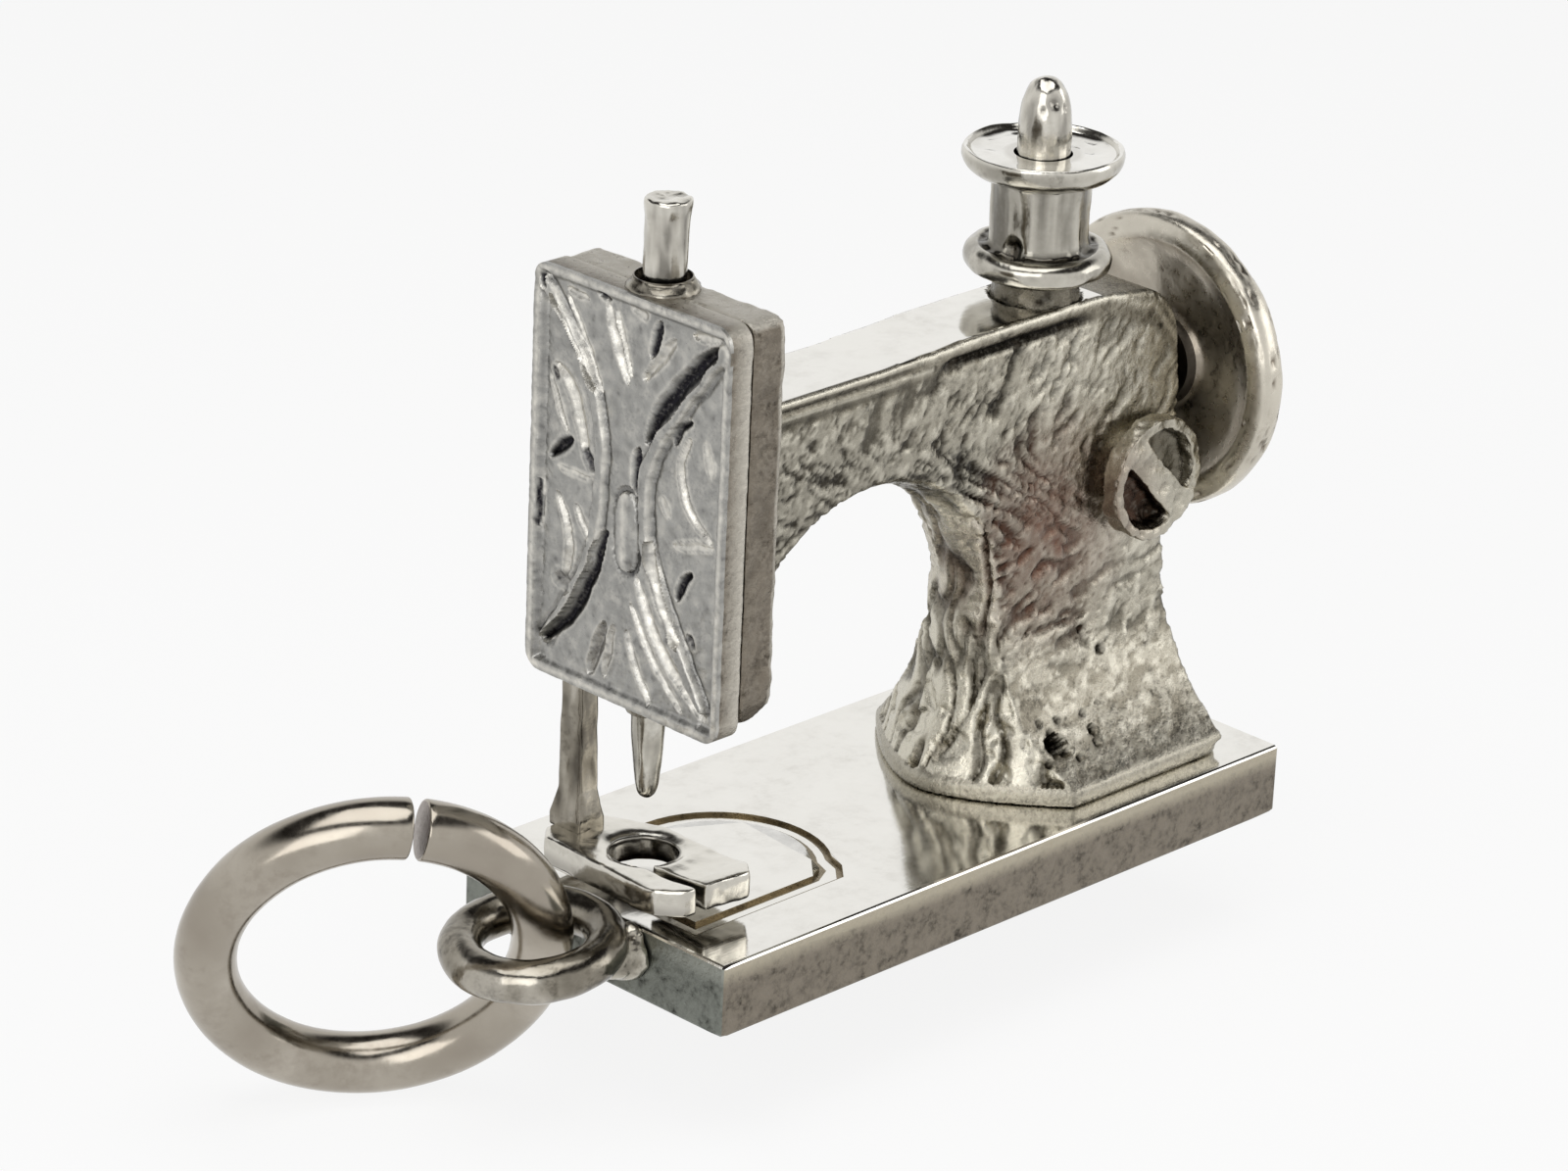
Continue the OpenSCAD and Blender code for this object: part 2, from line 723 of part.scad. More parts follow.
base_plate();
bail();
bail_solder();
jump_ring();
arm_column();
head_housing();
face_plate();
top_bush();
lower_bush();
needle_bar();
needle_yoke();
needle();
presser_bar();
presser_foot();
main_shaft();
crank_disc();
crank_pin();
wheel_collar();
handwheel();
shaft_rivet();
spool_seat();
spool_pin();
spool();
stitch_knob();
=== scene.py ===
import json
import math

import bpy
import numpy as np
from mathutils import Matrix, Vector
from mathutils.noise import fractal, noise

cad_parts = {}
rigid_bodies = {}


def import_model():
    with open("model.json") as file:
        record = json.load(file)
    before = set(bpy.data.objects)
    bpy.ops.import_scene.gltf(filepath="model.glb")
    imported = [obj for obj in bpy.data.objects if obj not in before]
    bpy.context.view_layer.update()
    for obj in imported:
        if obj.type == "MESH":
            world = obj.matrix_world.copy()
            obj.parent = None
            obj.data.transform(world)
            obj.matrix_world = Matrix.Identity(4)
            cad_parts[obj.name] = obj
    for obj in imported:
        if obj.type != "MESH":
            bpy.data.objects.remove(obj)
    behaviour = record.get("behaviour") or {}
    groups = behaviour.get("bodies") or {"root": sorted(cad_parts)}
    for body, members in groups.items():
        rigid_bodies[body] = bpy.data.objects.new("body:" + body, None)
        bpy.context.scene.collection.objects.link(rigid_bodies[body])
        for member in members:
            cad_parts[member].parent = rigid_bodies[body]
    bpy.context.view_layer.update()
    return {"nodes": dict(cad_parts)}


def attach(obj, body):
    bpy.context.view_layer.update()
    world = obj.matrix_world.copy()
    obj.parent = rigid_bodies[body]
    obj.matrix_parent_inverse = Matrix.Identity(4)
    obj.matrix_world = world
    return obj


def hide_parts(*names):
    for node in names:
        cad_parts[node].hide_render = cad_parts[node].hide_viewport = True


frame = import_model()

mm = 0.001
near = 0.01  # mm: places nearer than this are taken as one
weld = 0.0004  # mm: vertices nearer than this become one
facing = 0.9  # a face whose normal has this share of an axis faces that way
midY = -0.25  # mm: the plane of the shaft, the needle and the spool
needleX = -6.91
spoolX = 3.42
print("frame loaded:", len(frame["nodes"]), "nodes")


def metres(*spot):  # from mm
    return tuple(v * mm for v in spot)


def pick(obj):  # selects one object alone and makes it active
    for other in bpy.context.view_layer.objects:
        other.select_set(False)
    obj.select_set(True)
    bpy.context.view_layer.objects.active = obj
    return obj


def objectMode():
    if bpy.context.mode != "OBJECT":
        bpy.ops.object.mode_set(mode="OBJECT")


def settle(obj):  # puts the object's place into its mesh
    pick(obj)
    objectMode()
    bpy.ops.object.transform_apply(location=True, rotation=True, scale=True)


def startPiece(name, scale=(1, 1, 1)):  # names and settles the primitive that was just added
    obj = bpy.context.active_object
    obj.name = obj.data.name = name
    obj.scale = scale
    settle(obj)
    return obj


def editAll(obj, kind="VERT"):  # enters edit mode with everything selected
    pick(obj)
    bpy.ops.object.mode_set(mode="EDIT")
    bpy.ops.mesh.select_mode(type=kind)
    bpy.ops.mesh.select_all(action="SELECT")


# Enters edit mode with some edges or faces selected. The test gets an edge's two ends, or a face's middle and
# its normal. Places are in mm.
def editSome(obj, kind, test):
    objectMode()
    mesh = obj.data
    for group in (mesh.vertices, mesh.edges, mesh.polygons):
        group.foreach_set("select", [False] * len(group))
    if kind == "EDGE":
        for edge in mesh.edges:
            edge.select = test(*(mesh.vertices[i].co / mm for i in edge.vertices))
    else:
        for face in mesh.polygons:
            face.select = test(face.center / mm, face.normal)
    bpy.ops.object.mode_set(mode="EDIT")
    bpy.ops.mesh.select_mode(type=kind)


def extrude(x, y, z):  # draws out what is selected, in mm
    bpy.ops.mesh.extrude_region_move(TRANSFORM_OT_translate={"value": metres(x, y, z)})


def applyAll(obj):
    pick(obj)
    objectMode()
    for modifier in list(obj.modifiers):
        bpy.ops.object.modifier_apply(modifier=modifier.name)


def addModifier(obj, kind, **settings):
    modifier = obj.modifiers.new(kind.title(), kind)
    for key, value in settings.items():
        setattr(modifier, key, value)


def roundEdges(obj, width, degrees):  # rounds the edges that are sharper than the angle
    addModifier(obj, "BEVEL", width=width * mm, segments=3, limit_method="ANGLE",
                angle_limit=math.radians(degrees))


def outward(obj):
    editAll(obj)
    bpy.ops.mesh.remove_doubles(threshold=weld * mm)
    bpy.ops.mesh.normals_make_consistent(inside=False)
    objectMode()


def finishPiece(obj, finishes, body, node, degrees=60):
    settle(obj)
    obj.data.materials.clear()
    for finish in finishes:
        obj.data.materials.append(finish)
    bpy.ops.object.shade_smooth_by_angle(angle=math.radians(degrees))
    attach(obj, body)
    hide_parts(node)
    print("piece:", obj.name, len(obj.data.polygons), "faces")


def paint(obj, finishAt):  # the number of each face's finish, from its middle in mm and its normal
    for f in obj.data.polygons:
        f.material_index = int(finishAt(f.center / mm, f.normal))


def smoothLine(points, parts=5):  # a smooth line through the points; a point given twice is a corner
    line = [tuple(points[0])]
    last = len(points) - 1
    for i in range(last):
        start, end = Vector(points[i]), Vector(points[i + 1])
        length = (end - start).length
        if length == 0:
            continue
        way0 = (end - Vector(points[max(i - 1, 0)])).normalized() * length
        way1 = (Vector(points[min(i + 2, last)]) - start).normalized() * length
        for k in range(1, parts + 1):
            t = k / parts
            spot = (start * (2 * t ** 3 - 3 * t ** 2 + 1) + way0 * (t ** 3 - 2 * t ** 2 + t)
                    + end * (3 * t ** 2 - 2 * t ** 3) + way1 * (t ** 3 - t ** 2))
            line.append((spot.x, spot.y))
    return line


# Spins the half profile, (radius, height) in mm, into a turned solid about the upright through x and midY.
def lathe(name, s, x, y=midY):
    line = smoothLine(s["profile"], parts=4)
    bpy.ops.mesh.primitive_plane_add(size=near * mm, location=metres(x + line[0][0], y, line[0][1]))
    obj = startPiece(name)
    editAll(obj)
    bpy.ops.mesh.merge(type="CENTER")
    for (r0, z0), (r1, z1) in zip(line, line[1:]):
        extrude(r1 - r0, 0, z1 - z0)
    bpy.ops.mesh.select_all(action="SELECT")
    bpy.ops.mesh.spin(steps=s["steps"], angle=2 * math.pi, center=metres(x, y, 0), axis=(0, 0, 1))
    outward(obj)
    return obj


def block(name, middle, size):
    bpy.ops.mesh.primitive_cube_add(size=1, location=metres(*middle))
    return startPiece(name, metres(*size))


def skinOf(node, name):  # a merged copy of a CAD node
    source = frame["nodes"][node]
    obj = source.copy()
    obj.data = source.data.copy()
    obj.parent = None
    for key in list(obj.keys()):
        del obj[key]
    bpy.context.scene.collection.objects.link(obj)
    obj.name = obj.data.name = name
    editAll(obj)
    bpy.ops.mesh.remove_doubles(threshold=weld * mm)
    objectMode()
    return obj


def evenSkin(obj, s):  # remakes the surface with even small faces, its edges a little rounded
    addModifier(obj, "REMESH", mode="VOXEL", voxel_size=s["voxel"] * mm)
    addModifier(obj, "SMOOTH", factor=0.5, iterations=s["smoothing"])
    applyAll(obj)
    return obj


def unit(value):  # kept between 0 and 1
    return max(0.0, min(1.0, value))


def step(low, high, value):  # 0 at low, 1 at high, smooth between
    t = unit((value - low) / (high - low))
    return t * t * (3 - 2 * t)


def hump(middle, half, value):  # 1 at the middle, falling away on both sides
    return math.exp(-((value - middle) / half) ** 2)


def hollow(value):  # turns noise into a depth share from 0 to 1
    return unit(0.5 - 0.9 * value)


def clouds(spot, octaves=3):
    return fractal(spot, 1.0, 2.0, octaves)


# Works the surface. workedAt(point in mm, normal) gives three numbers: how deep it goes in, in mm, how dark
# and how bright the point is, both from 0 to 1. The dark is tarnish in the hollows and in some places painted
# shade; the bright is worn crests and in some places painted light.
def carve(obj, workedAt):
    mesh = obj.data
    normals = [v.normal.copy() for v in mesh.vertices]
    dark, bright = [], []
    for v, n in zip(mesh.vertices, normals):
        depth, low, high = workedAt(v.co / mm, n)
        v.co -= n * mm * depth
        dark.append(unit(low))
        bright.append(unit(high))
    keep(mesh, dark, bright)


def keep(mesh, dark, bright):  # on the mesh's points, for the material to read
    for name, values in (("hollow", dark), ("crestAndLight", bright)):
        mesh.attributes.new(name, "FLOAT", "POINT").data.foreach_set("value", values)
    mesh.update()


# Soft uneven dents: their size and depth in mm, how dark they are, and how far they are drawn out along Z.
def dented(size, deep, dark=0.5, along=1.0):
    def workedAt(p, n):
        share = hollow(clouds(Vector((p.x / size, p.y / size, p.z / (size * along)))))
        return deep * share, dark * share ** 2, 0.6 * (1 - share) ** 4
    return workedAt


def hexColour(code):
    def linear(c):
        return c / 12.92 if c <= 0.04045 else ((c + 0.055) / 1.055) ** 2.4
    return tuple(linear(int(code[i:i + 2], 16) / 255) for i in (1, 3, 5)) + (1.0,)


def emptyTree(holder):
    holder.use_nodes = True
    holder.node_tree.nodes.clear()
    return holder.node_tree


# Adds a shader node. links: socket to source, where a node stands for its first output. stops: a colour
# ramp's places and greys or colours. Settings that start with in_ are socket values, by name or number.
def addNode(tree, kind, links=None, stops=(), **settings):
    node = tree.nodes.new("ShaderNode" + kind)
    for key, value in settings.items():
        if key.startswith("in_"):
            name = key[3:]
            node.inputs[int(name) if name.isdigit() else name.replace("_", " ")].default_value = value
        else:
            setattr(node, key, value)
    for i, (place, colour) in enumerate(stops):
        element = node.color_ramp.elements[i]
        element.position = place
        element.color = hexColour(colour) if isinstance(colour, str) else (colour, colour, colour, 1)
    for socket, source in (links or {}).items():
        tree.links.new(getattr(source, "outputs", [source])[0], node.inputs[socket])
    return node


# Sterling silver: a metal whose colour is its reflection, so the tone comes from tint, tarnish and roughness,
# and in some places from painted light and shade. grain is the size of the surface's texture and patch that
# of the tarnish's clouds, in mm; tarnish, low and high are how much the film, the hollows and the crests
# show, where the hollows also hold painted shade and the crests painted light. lines: fine marks drawn out
# along one way, with their width and length in mm and the way's turn. stainAndShadow: a warm stain, which
# under the presser foot also stands for the foot's shadow: its middle and radius in mm, colour and strength.
def silver(name, tint, shade, crestAndLight, roughness, grain, patch, bump, tarnish, low, high,
           lines=None, stainAndShadow=None):
    mat = bpy.data.materials.new(name)
    tree = emptyTree(mat)
    place = addNode(tree, "TexCoord").outputs["Object"]
    cloud = addNode(tree, "TexNoise", {"Vector": place}, in_Scale=1 / (patch * mm), in_Detail=5.0,
                    in_Roughness=0.6)
    fine = addNode(tree, "TexNoise", {"Vector": place}, in_Scale=1 / (grain * mm), in_Detail=5.0,
                   in_Roughness=0.65)
    film = addNode(tree, "ValToRGB", {0: cloud}, [(0.40, 0.0), (0.66, tarnish)])
    speck = addNode(tree, "ValToRGB", {0: fine}, [(0.36, 1.0), (0.56, 0.2)])
    veil = addNode(tree, "Math", {0: film, 1: speck}, operation="MULTIPLY")
    # hollow: tarnish in the hollows, and in some places painted shade
    deep = addNode(tree, "Attribute", attribute_name="hollow").outputs["Fac"]
    lowest = addNode(tree, "Math", {0: deep}, operation="MULTIPLY", in_1=low)
    level = addNode(tree, "Math", {0: veil, 1: lowest}, operation="MAXIMUM")
    worn = addNode(tree, "Mix", {"Factor": level}, data_type="RGBA", in_6=hexColour(tint),
                   in_7=hexColour(shade)).outputs[2]
    # crestAndLight: worn crests, and in some places painted light
    crestAndLightShare = addNode(tree, "Attribute", attribute_name="crestAndLight").outputs["Fac"]
    # the crest's border is broken up by the grain
    uneven = addNode(tree, "Math", {0: fine}, operation="MULTIPLY_ADD", in_1=0.7, in_2=-0.35)
    edge = addNode(tree, "Math", {0: crestAndLightShare, 2: uneven}, operation="MULTIPLY_ADD", use_clamp=True, in_1=1.2)
    share = addNode(tree, "Math", {0: edge}, operation="MULTIPLY", in_1=high)
    colour = addNode(tree, "Mix", {"Factor": share, 6: worn}, data_type="RGBA",
                     in_7=hexColour(crestAndLight)).outputs[2]
    # the warm stain; under the presser foot it is also the foot's painted shadow
    if stainAndShadow:
        middle, radius, stainAndShadowColour, strength = stainAndShadow
        reach = radius * mm
        away = addNode(tree, "VectorMath", {0: place}, operation="DISTANCE", in_1=metres(*middle))
        fading = addNode(tree, "MapRange", {"Value": away.outputs["Value"]}, in_1=0.2 * reach, in_2=reach,
                         in_3=strength, in_4=0.0)
        stainAndShadowShare = addNode(tree, "Math", {0: fading, 1: cloud}, operation="MULTIPLY", use_clamp=True)
        colour = addNode(tree, "Mix", {"Factor": stainAndShadowShare, 6: colour}, data_type="RGBA",
                         in_7=hexColour(stainAndShadowColour)).outputs[2]
    rough = addNode(tree, "MapRange", {"Value": fine}, in_1=0.3, in_2=0.7, in_3=roughness * 0.7,
                    in_4=roughness * 1.4)
    height = fine
    if lines:
        across, along, turn = lines
        drawn = addNode(tree, "Mapping", {"Vector": place}, in_Rotation=turn,
                        in_Scale=(1 / (along * mm), 1 / (across * mm), 1 / (across * mm)))
        marks = addNode(tree, "TexNoise", {"Vector": drawn}, in_Scale=1.0, in_Detail=3.0)
        height = addNode(tree, "Math", {0: fine, 1: marks}, operation="ADD")
    skin = addNode(tree, "Bump", {"Height": height}, in_Strength=bump, in_Distance=0.03 * mm)
    shader = addNode(tree, "BsdfPrincipled", {"Base Color": colour, "Roughness": rough, "Normal": skin},
                     in_Metallic=1.0)
    addNode(tree, "OutputMaterial", {0: shader})
    return mat


# Buffed plate: bright and almost mirror-like, with hairline scuffs, and under the presser foot a brown patch
# that is painted shadow together with tarnish.
buffed = silver("buffedSilver", "#eae8e2", "#a39d92", "#f2efe8", roughness=0.09, grain=0.35, patch=1.3,
                bump=0.05, tarnish=0.25, low=0.8, high=0.0, lines=(0.05, 1.5, (0, 0, 0.7)),
                stainAndShadow=((-6.81, -0.15, 1.5), 1.1, "#2e251c", 3.5))
# Bottom of the engraved line: left as the graver cut it, tan with tarnish.
graved = silver("gravedLine", "#9c9078", "#4f4637", "#d8d2c4", roughness=0.30, grain=0.10, patch=0.6,
                bump=0.3, tarnish=0.9, low=0.8, high=0.0)
# Small parts that were tumbled: bright, a little uneven, brown in their corners.
tumbledLook = {"tint": "#b5b1a6", "shade": "#332e27", "crestAndLight": "#efece3", "roughness": 0.17, "grain": 0.22,
               "patch": 1.1, "bump": 0.22, "tarnish": 0.5, "low": 0.95, "high": 0.5}
tumbled = silver("tumbledSilver", **tumbledLook)
# The rods that are handled most: the same, rubbed brighter.
rubbed = silver("rubbedSilver", **{**tumbledLook, "tint": "#cdc9bf", "tarnish": 0.25, "low": 0.7})
# The bail and the square bar kept more of their brown film.
filmed = silver("filmedSilver", **{**tumbledLook, "tint": "#8d877b", "crestAndLight": "#d8d3c8", "tarnish": 0.8})
# The base's sides were never buffed: dull, grainy, brownish grey. The grain is drawn coarser than it is.
unbuffed = silver("unbuffedEdge", "#857d71", "#39342c", "#b5ad9b", roughness=0.42, grain=0.13, patch=0.45,
                  bump=1.0, tarnish=1.0, low=0.8, high=0.95)
# The end by the bail, stained by the soldering: greenish grey, mottled dark.
heatStained = silver("heatStainedEnd", "#7f827b", "#23241f", "#a0a29a", roughness=0.36, grain=0.16, patch=0.5,
                     bump=0.8, tarnish=1.0, low=0.8, high=0.6)
# Investment-cast skin: pale on the crests, a brown-black film in the hollows.
cast = silver("castSilver", "#8a8476", "#211d17", "#d6d1c2", roughness=0.26, grain=0.12, patch=0.6, bump=0.75,
              tarnish=0.95, low=1.0, high=0.85, stainAndShadow=((3.2, -1.25, 6.8), 2.9, "#6a4a3c", 1.3))
# Satin face cut with a graver: even grey, black in the deep cuts, with painted highlights along the cuts'
# edges, the bands, the border and the pellet.
engraved = silver("engravedSatin", "#a2a19d", "#201f24", "#e6e2d8", roughness=0.33, grain=0.08, patch=0.9,
                  bump=0.30, tarnish=0.3, low=1.0, high=0.9)
# Cast sides of the head: brown-grey and grainy, with a soft sheen.
headSide = silver("headSide","#81796d", "#433c33", "#c6c1b6", roughness=0.34, grain=0.12, patch=0.7,
                  bump=1.3, tarnish=1.0, low=0.9, high=0.9)
# Turned wheel with a light brown tarnish; its shade colour also serves as painted shade low on the dish and
# round the hub.
turned = silver("turnedTarnished", "#cdc6b8", "#5c5043", "#d6d1c4", roughness=0.30, grain=0.18, patch=1.6,
                bump=0.25, tarnish=0.7, low=1.0, high=0.7)
# Drawn wire: smooth and warm, with a long soft highlight.
wire = silver("drawnWire", "#a59e92", "#6b5d52", "#d8d2c6", roughness=0.18, grain=0.30, patch=3.0, bump=0.06,
              tarnish=0.35, low=0.5, high=0.3)
# Sawn end of the wire: flat and grey, with the saw's marks.
sawn = silver("sawnEnd", "#a69e98", "#6e645c", "#c8c2ba", roughness=0.38, grain=0.08, patch=0.5, bump=0.5,
              tarnish=0.4, low=0.0, high=0.0, lines=(0.04, 1.2, (0, 1.2, 0.5)))
# Solder that flowed and was filed: smooth, with dark pits.
solder = silver("hardSolder", "#a39d90", "#27221b", "#dcd8cc", roughness=0.22, grain=0.20, patch=0.6,
                bump=0.35, tarnish=0.7, low=1.0, high=0.7)
# The mechanism inside: plain, hardly seen.
inner = silver("plainInner", "#8f8b82", "#4d4841", "#a5a198", roughness=0.3, grain=0.15, patch=0.8, bump=0.2,
               tarnish=0.5, low=0.0, high=0.0)
# The gap between the wheel and the column: painted shade together with tarnish, almost black.
shadedBlack = silver("shadedBlackSilver", "#4b453d", "#171411", "#6b655b", roughness=0.4, grain=0.15, patch=0.8,
                   bump=0.2, tarnish=0.9, low=0.5, high=0.0)
print("materials:", len(bpy.data.materials))

cameraSettings = {
    "azimuth": -46.007, "elevation": 22.386, "roll": 2.47,  # degrees
    "target": (0, 0, 6), "aside": -2.157, "up": 0.008, "away": 117.587,  # mm
    "lens": 136.57, "sensor": 36, "nearest": 0.001, "farthest": 10,
}


def makeCamera(s):
    az, el, roll = (math.radians(s[k]) for k in ("azimuth", "elevation", "roll"))
    back = Vector((math.sin(az) * math.cos(el), -math.cos(az) * math.cos(el), math.sin(el)))
    right = Vector((0, 0, 1)).cross(back).normalized()
    above = back.cross(right)
    x = right * math.cos(roll) + above * math.sin(roll)
    y = above * math.cos(roll) - right * math.sin(roll)
    spot = Vector(s["target"]) + x * s["aside"] + y * s["up"] + back * s["away"]
    camera = bpy.data.objects.new("camera", bpy.data.cameras.new("camera"))
    bpy.context.scene.collection.objects.link(camera)
    camera.matrix_world = Matrix.Translation(spot * mm) @ Matrix((x, y, back)).transposed().to_4x4()
    camera.data.lens = s["lens"]
    camera.data.sensor_width = s["sensor"]
    camera.data.sensor_fit = "HORIZONTAL"
    camera.data.clip_start = s["nearest"]
    camera.data.clip_end = s["farthest"]
    bpy.context.scene.camera = camera


makeCamera(cameraSettings)
bpy.context.scene.view_settings.view_transform = "Standard"

lampSettings = [
    {"name": "overheadSoftbox", "place": (-20, -10, 120), "size": 110, "power": 0.085},  # mm, mm, W
    {"name": "frontSoftbox", "place": (-120, -60, 60), "size": 90, "power": 0.045},
    {"name": "rightCard", "place": (90, -90, 50), "size": 70, "power": 0.022},
]


def makeLamp(s, target):
    lamp = bpy.data.objects.new(s["name"], bpy.data.lights.new(s["name"], "AREA"))
    bpy.context.scene.collection.objects.link(lamp)
    lamp.data.size = s["size"] * mm
    lamp.data.energy = s["power"]
    spot = Vector(s["place"]) * mm
    turn = (Vector(target) * mm - spot).to_track_quat("-Z", "Y")
    lamp.matrix_world = Matrix.Translation(spot) @ turn.to_matrix().to_4x4()


for lampLine in lampSettings:
    makeLamp(lampLine, cameraSettings["target"])

backdropSettings = {
    "paper": "#fefefe", "glow": 0.88, "floorDrop": 2.45, "floorSize": 900,  # mm
    "light": "#9a9a98", "lightLevel": 0.55,
    # what shines back from the metal: a white room up to wallTop, a dark ceiling above ceilingFrom
    "wallTop": 0.50, "ceilingFrom": 0.68, "ceiling": "#2c2a28",
}


def makeBackdrop(s):
    world = bpy.data.worlds.new("paleRoom")
    bpy.context.scene.world = world
    paper = bpy.data.materials.new("palePaper")
    eyes = []
    for holder in (world, paper):  # 1 where the camera, a reflection or glass looks at it
        tree = emptyTree(holder)
        path = addNode(tree, "LightPath").outputs
        seen = path["Is Camera Ray"]
        for ray in ("Is Glossy Ray", "Is Transmission Ray"):
            seen = addNode(tree, "Math", {0: seen, 1: path[ray]}, operation="MAXIMUM").outputs[0]
        eyes.append(seen)

    tree = world.node_tree
    lit = addNode(tree, "Background", in_Color=hexColour(s["light"]), in_Strength=s["lightLevel"])
    way = addNode(tree, "TexCoord").outputs["Generated"]
    height = addNode(tree, "SeparateXYZ", {0: way}).outputs["Z"]
    room = addNode(tree, "ValToRGB", {0: height},
                   [(s["wallTop"], s["paper"]), (s["ceilingFrom"], s["ceiling"])])
    shown = addNode(tree, "Background", {"Color": room}, in_Strength=1.0)
    both = addNode(tree, "MixShader", {0: eyes[0], 1: lit, 2: shown})
    addNode(tree, "OutputWorld", {0: both})

    tree = paper.node_tree
    matt = addNode(tree, "BsdfDiffuse", in_Color=hexColour(s["paper"]))
    glow = addNode(tree, "Emission", in_Color=hexColour(s["paper"]), in_Strength=1.0)
    share = addNode(tree, "Math", {0: eyes[1]}, operation="MULTIPLY", in_1=s["glow"])
    both = addNode(tree, "MixShader", {0: share, 1: matt, 2: glow})
    addNode(tree, "OutputMaterial", {0: both})

    bpy.ops.mesh.primitive_plane_add(size=s["floorSize"] * mm, location=metres(0, 0, -s["floorDrop"]))
    floor = startPiece("paperFloor")
    floor.data.materials.append(paper)


makeBackdrop(backdropSettings)
print("camera, lamps and floor set")

baseSettings = {"length": 16, "width": 7.2, "thick": 1.5, "arris": 0.06,
                "grooveFloor": 1.42, "grooveEdge": 0.13, "floorRise": 0.006, "margin": 0.1,
                "buffedFrom": 1.34, "dullBelow": 1.02}  # the sides grow paler between these heights


def makeBase(s):
    obj = skinOf("base_plate", "basePlate")
    farX, farY, top = s["length"] / 2, s["width"] / 2, s["thick"]

    def isOuter(a, b):  # the edge lies along two of the block's outer planes
        onX = abs(abs(a.x) - farX) < near and abs(a.x - b.x) < near
        onY = abs(abs(a.y) - farY) < near and abs(a.y - b.y) < near
        onZ = abs(abs(a.z - top / 2) - top / 2) < near and abs(a.z - b.z) < near
        return onX + onY + onZ > 1

    editSome(obj, "EDGE", isOuter)
    bpy.ops.mesh.bevel(offset=s["arris"] * mm, segments=2, affect="EDGES")
    # the engraved line: its floor is set in, so that its two flanks can be tan and its middle bright
    editSome(obj, "FACE", lambda c, n: n.z > facing and abs(c.z - s["grooveFloor"]) < near)
    bpy.ops.mesh.inset(thickness=s["grooveEdge"] * mm)
    bpy.ops.transform.translate(value=metres(0, 0, s["floorRise"]))
    for height in (s["buffedFrom"], s["dullBelow"]):
        bpy.ops.mesh.select_all(action="SELECT")
        bpy.ops.mesh.bisect(plane_co=metres(0, 0, height), plane_no=(0, 0, 1))
    objectMode()
    pale = [step(s["dullBelow"], s["buffedFrom"], v.co.z / mm) for v in obj.data.vertices]
    obj.data.attributes.new("crestAndLight", "FLOAT", "POINT").data.foreach_set("value", pale)
    finishPiece(obj, [buffed, unbuffed, heatStained, graved], "machine", "base_plate", 15)

    def finishAt(c, n):
        within = abs(c.x) < farX - s["margin"] and abs(c.y) < farY - s["margin"]
        if within and s["dullBelow"] < c.z < top - near:  # the groove: its middle is buffed, the rest is tan
            return 0 if abs(c.z - s["grooveFloor"] - s["floorRise"]) < near / 10 else 3
        if n.z > 0.3:
            return 0
        return 2 if n.x < -0.7 else 1

    paint(obj, finishAt)


makeBase(baseSettings)

bailSettings = {"middle": (-9.6, -0.08, 1.2), "meanRadius": 1.4, "wire": 0.45, "droop": 6.5, "baseEnd": -8,
                "voxel": 0.045, "smoothing": 4, "dents": (1.3, 0.045)}


def makeBail(s):
    bpy.ops.mesh.primitive_torus_add(major_radius=s["meanRadius"] * mm, minor_radius=s["wire"] * mm,
                                     major_segments=96, minor_segments=32, location=metres(*s["middle"]),
                                     rotation=(0, -math.radians(s["droop"]), 0))
    obj = startPiece("bailRing")
    editAll(obj)
    bpy.ops.mesh.bisect(plane_co=metres(s["baseEnd"], 0, 0), plane_no=(1, 0, 0), use_fill=True,
                        clear_outer=True)
    objectMode()
    evenSkin(obj, s)
    carve(obj, dented(*s["dents"]))
    finishPiece(obj, [filmed], "machine", "bail")


makeBail(bailSettings)

solderSettings = {
    # where each web starts on the base's end and where it meets the bail: y, z, radius
    "webs": [((-1.05, 0.80, 0.66), (-0.95, 1.12, 0.40)), ((0.95, 0.80, 0.60), (0.85, 1.10, 0.38))],
    "baseEnd": -8.0, "reach": 0.85, "voxel": 0.045, "smoothing": 10, "pits": (0.5, 0.11, 1.0),
}


def makeSolder(s):
    webs = []
    for (y0, z0, r0), (y1, z1, r1) in s["webs"]:
        middle = (s["baseEnd"] - s["reach"] / 2, (y0 + y1) / 2, (z0 + z1) / 2)
        bpy.ops.mesh.primitive_cone_add(vertices=40, radius1=r0 * mm, radius2=r1 * mm, depth=s["reach"] * mm,
                                        location=metres(*middle), rotation=(0, -math.pi / 2, 0))
        webs.append(startPiece("web"))
    for web in webs:
        web.select_set(True)
    bpy.ops.object.join()
    obj = startPiece("solderWebs")
    evenSkin(obj, s)
    carve(obj, dented(*s["pits"]))
    finishPiece(obj, [solder], "machine", "bail_solder")


makeSolder(solderSettings)

ringSettings = {"hold": (-9.38, -0.08, 1.2), "turn": 55, "lean": 69.5, "mean": 3.2, "wire": 0.6, "gapAt": 186,
                "gap": 0.25, "endBevel": 0.05, "dents": (1.8, 0.012)}


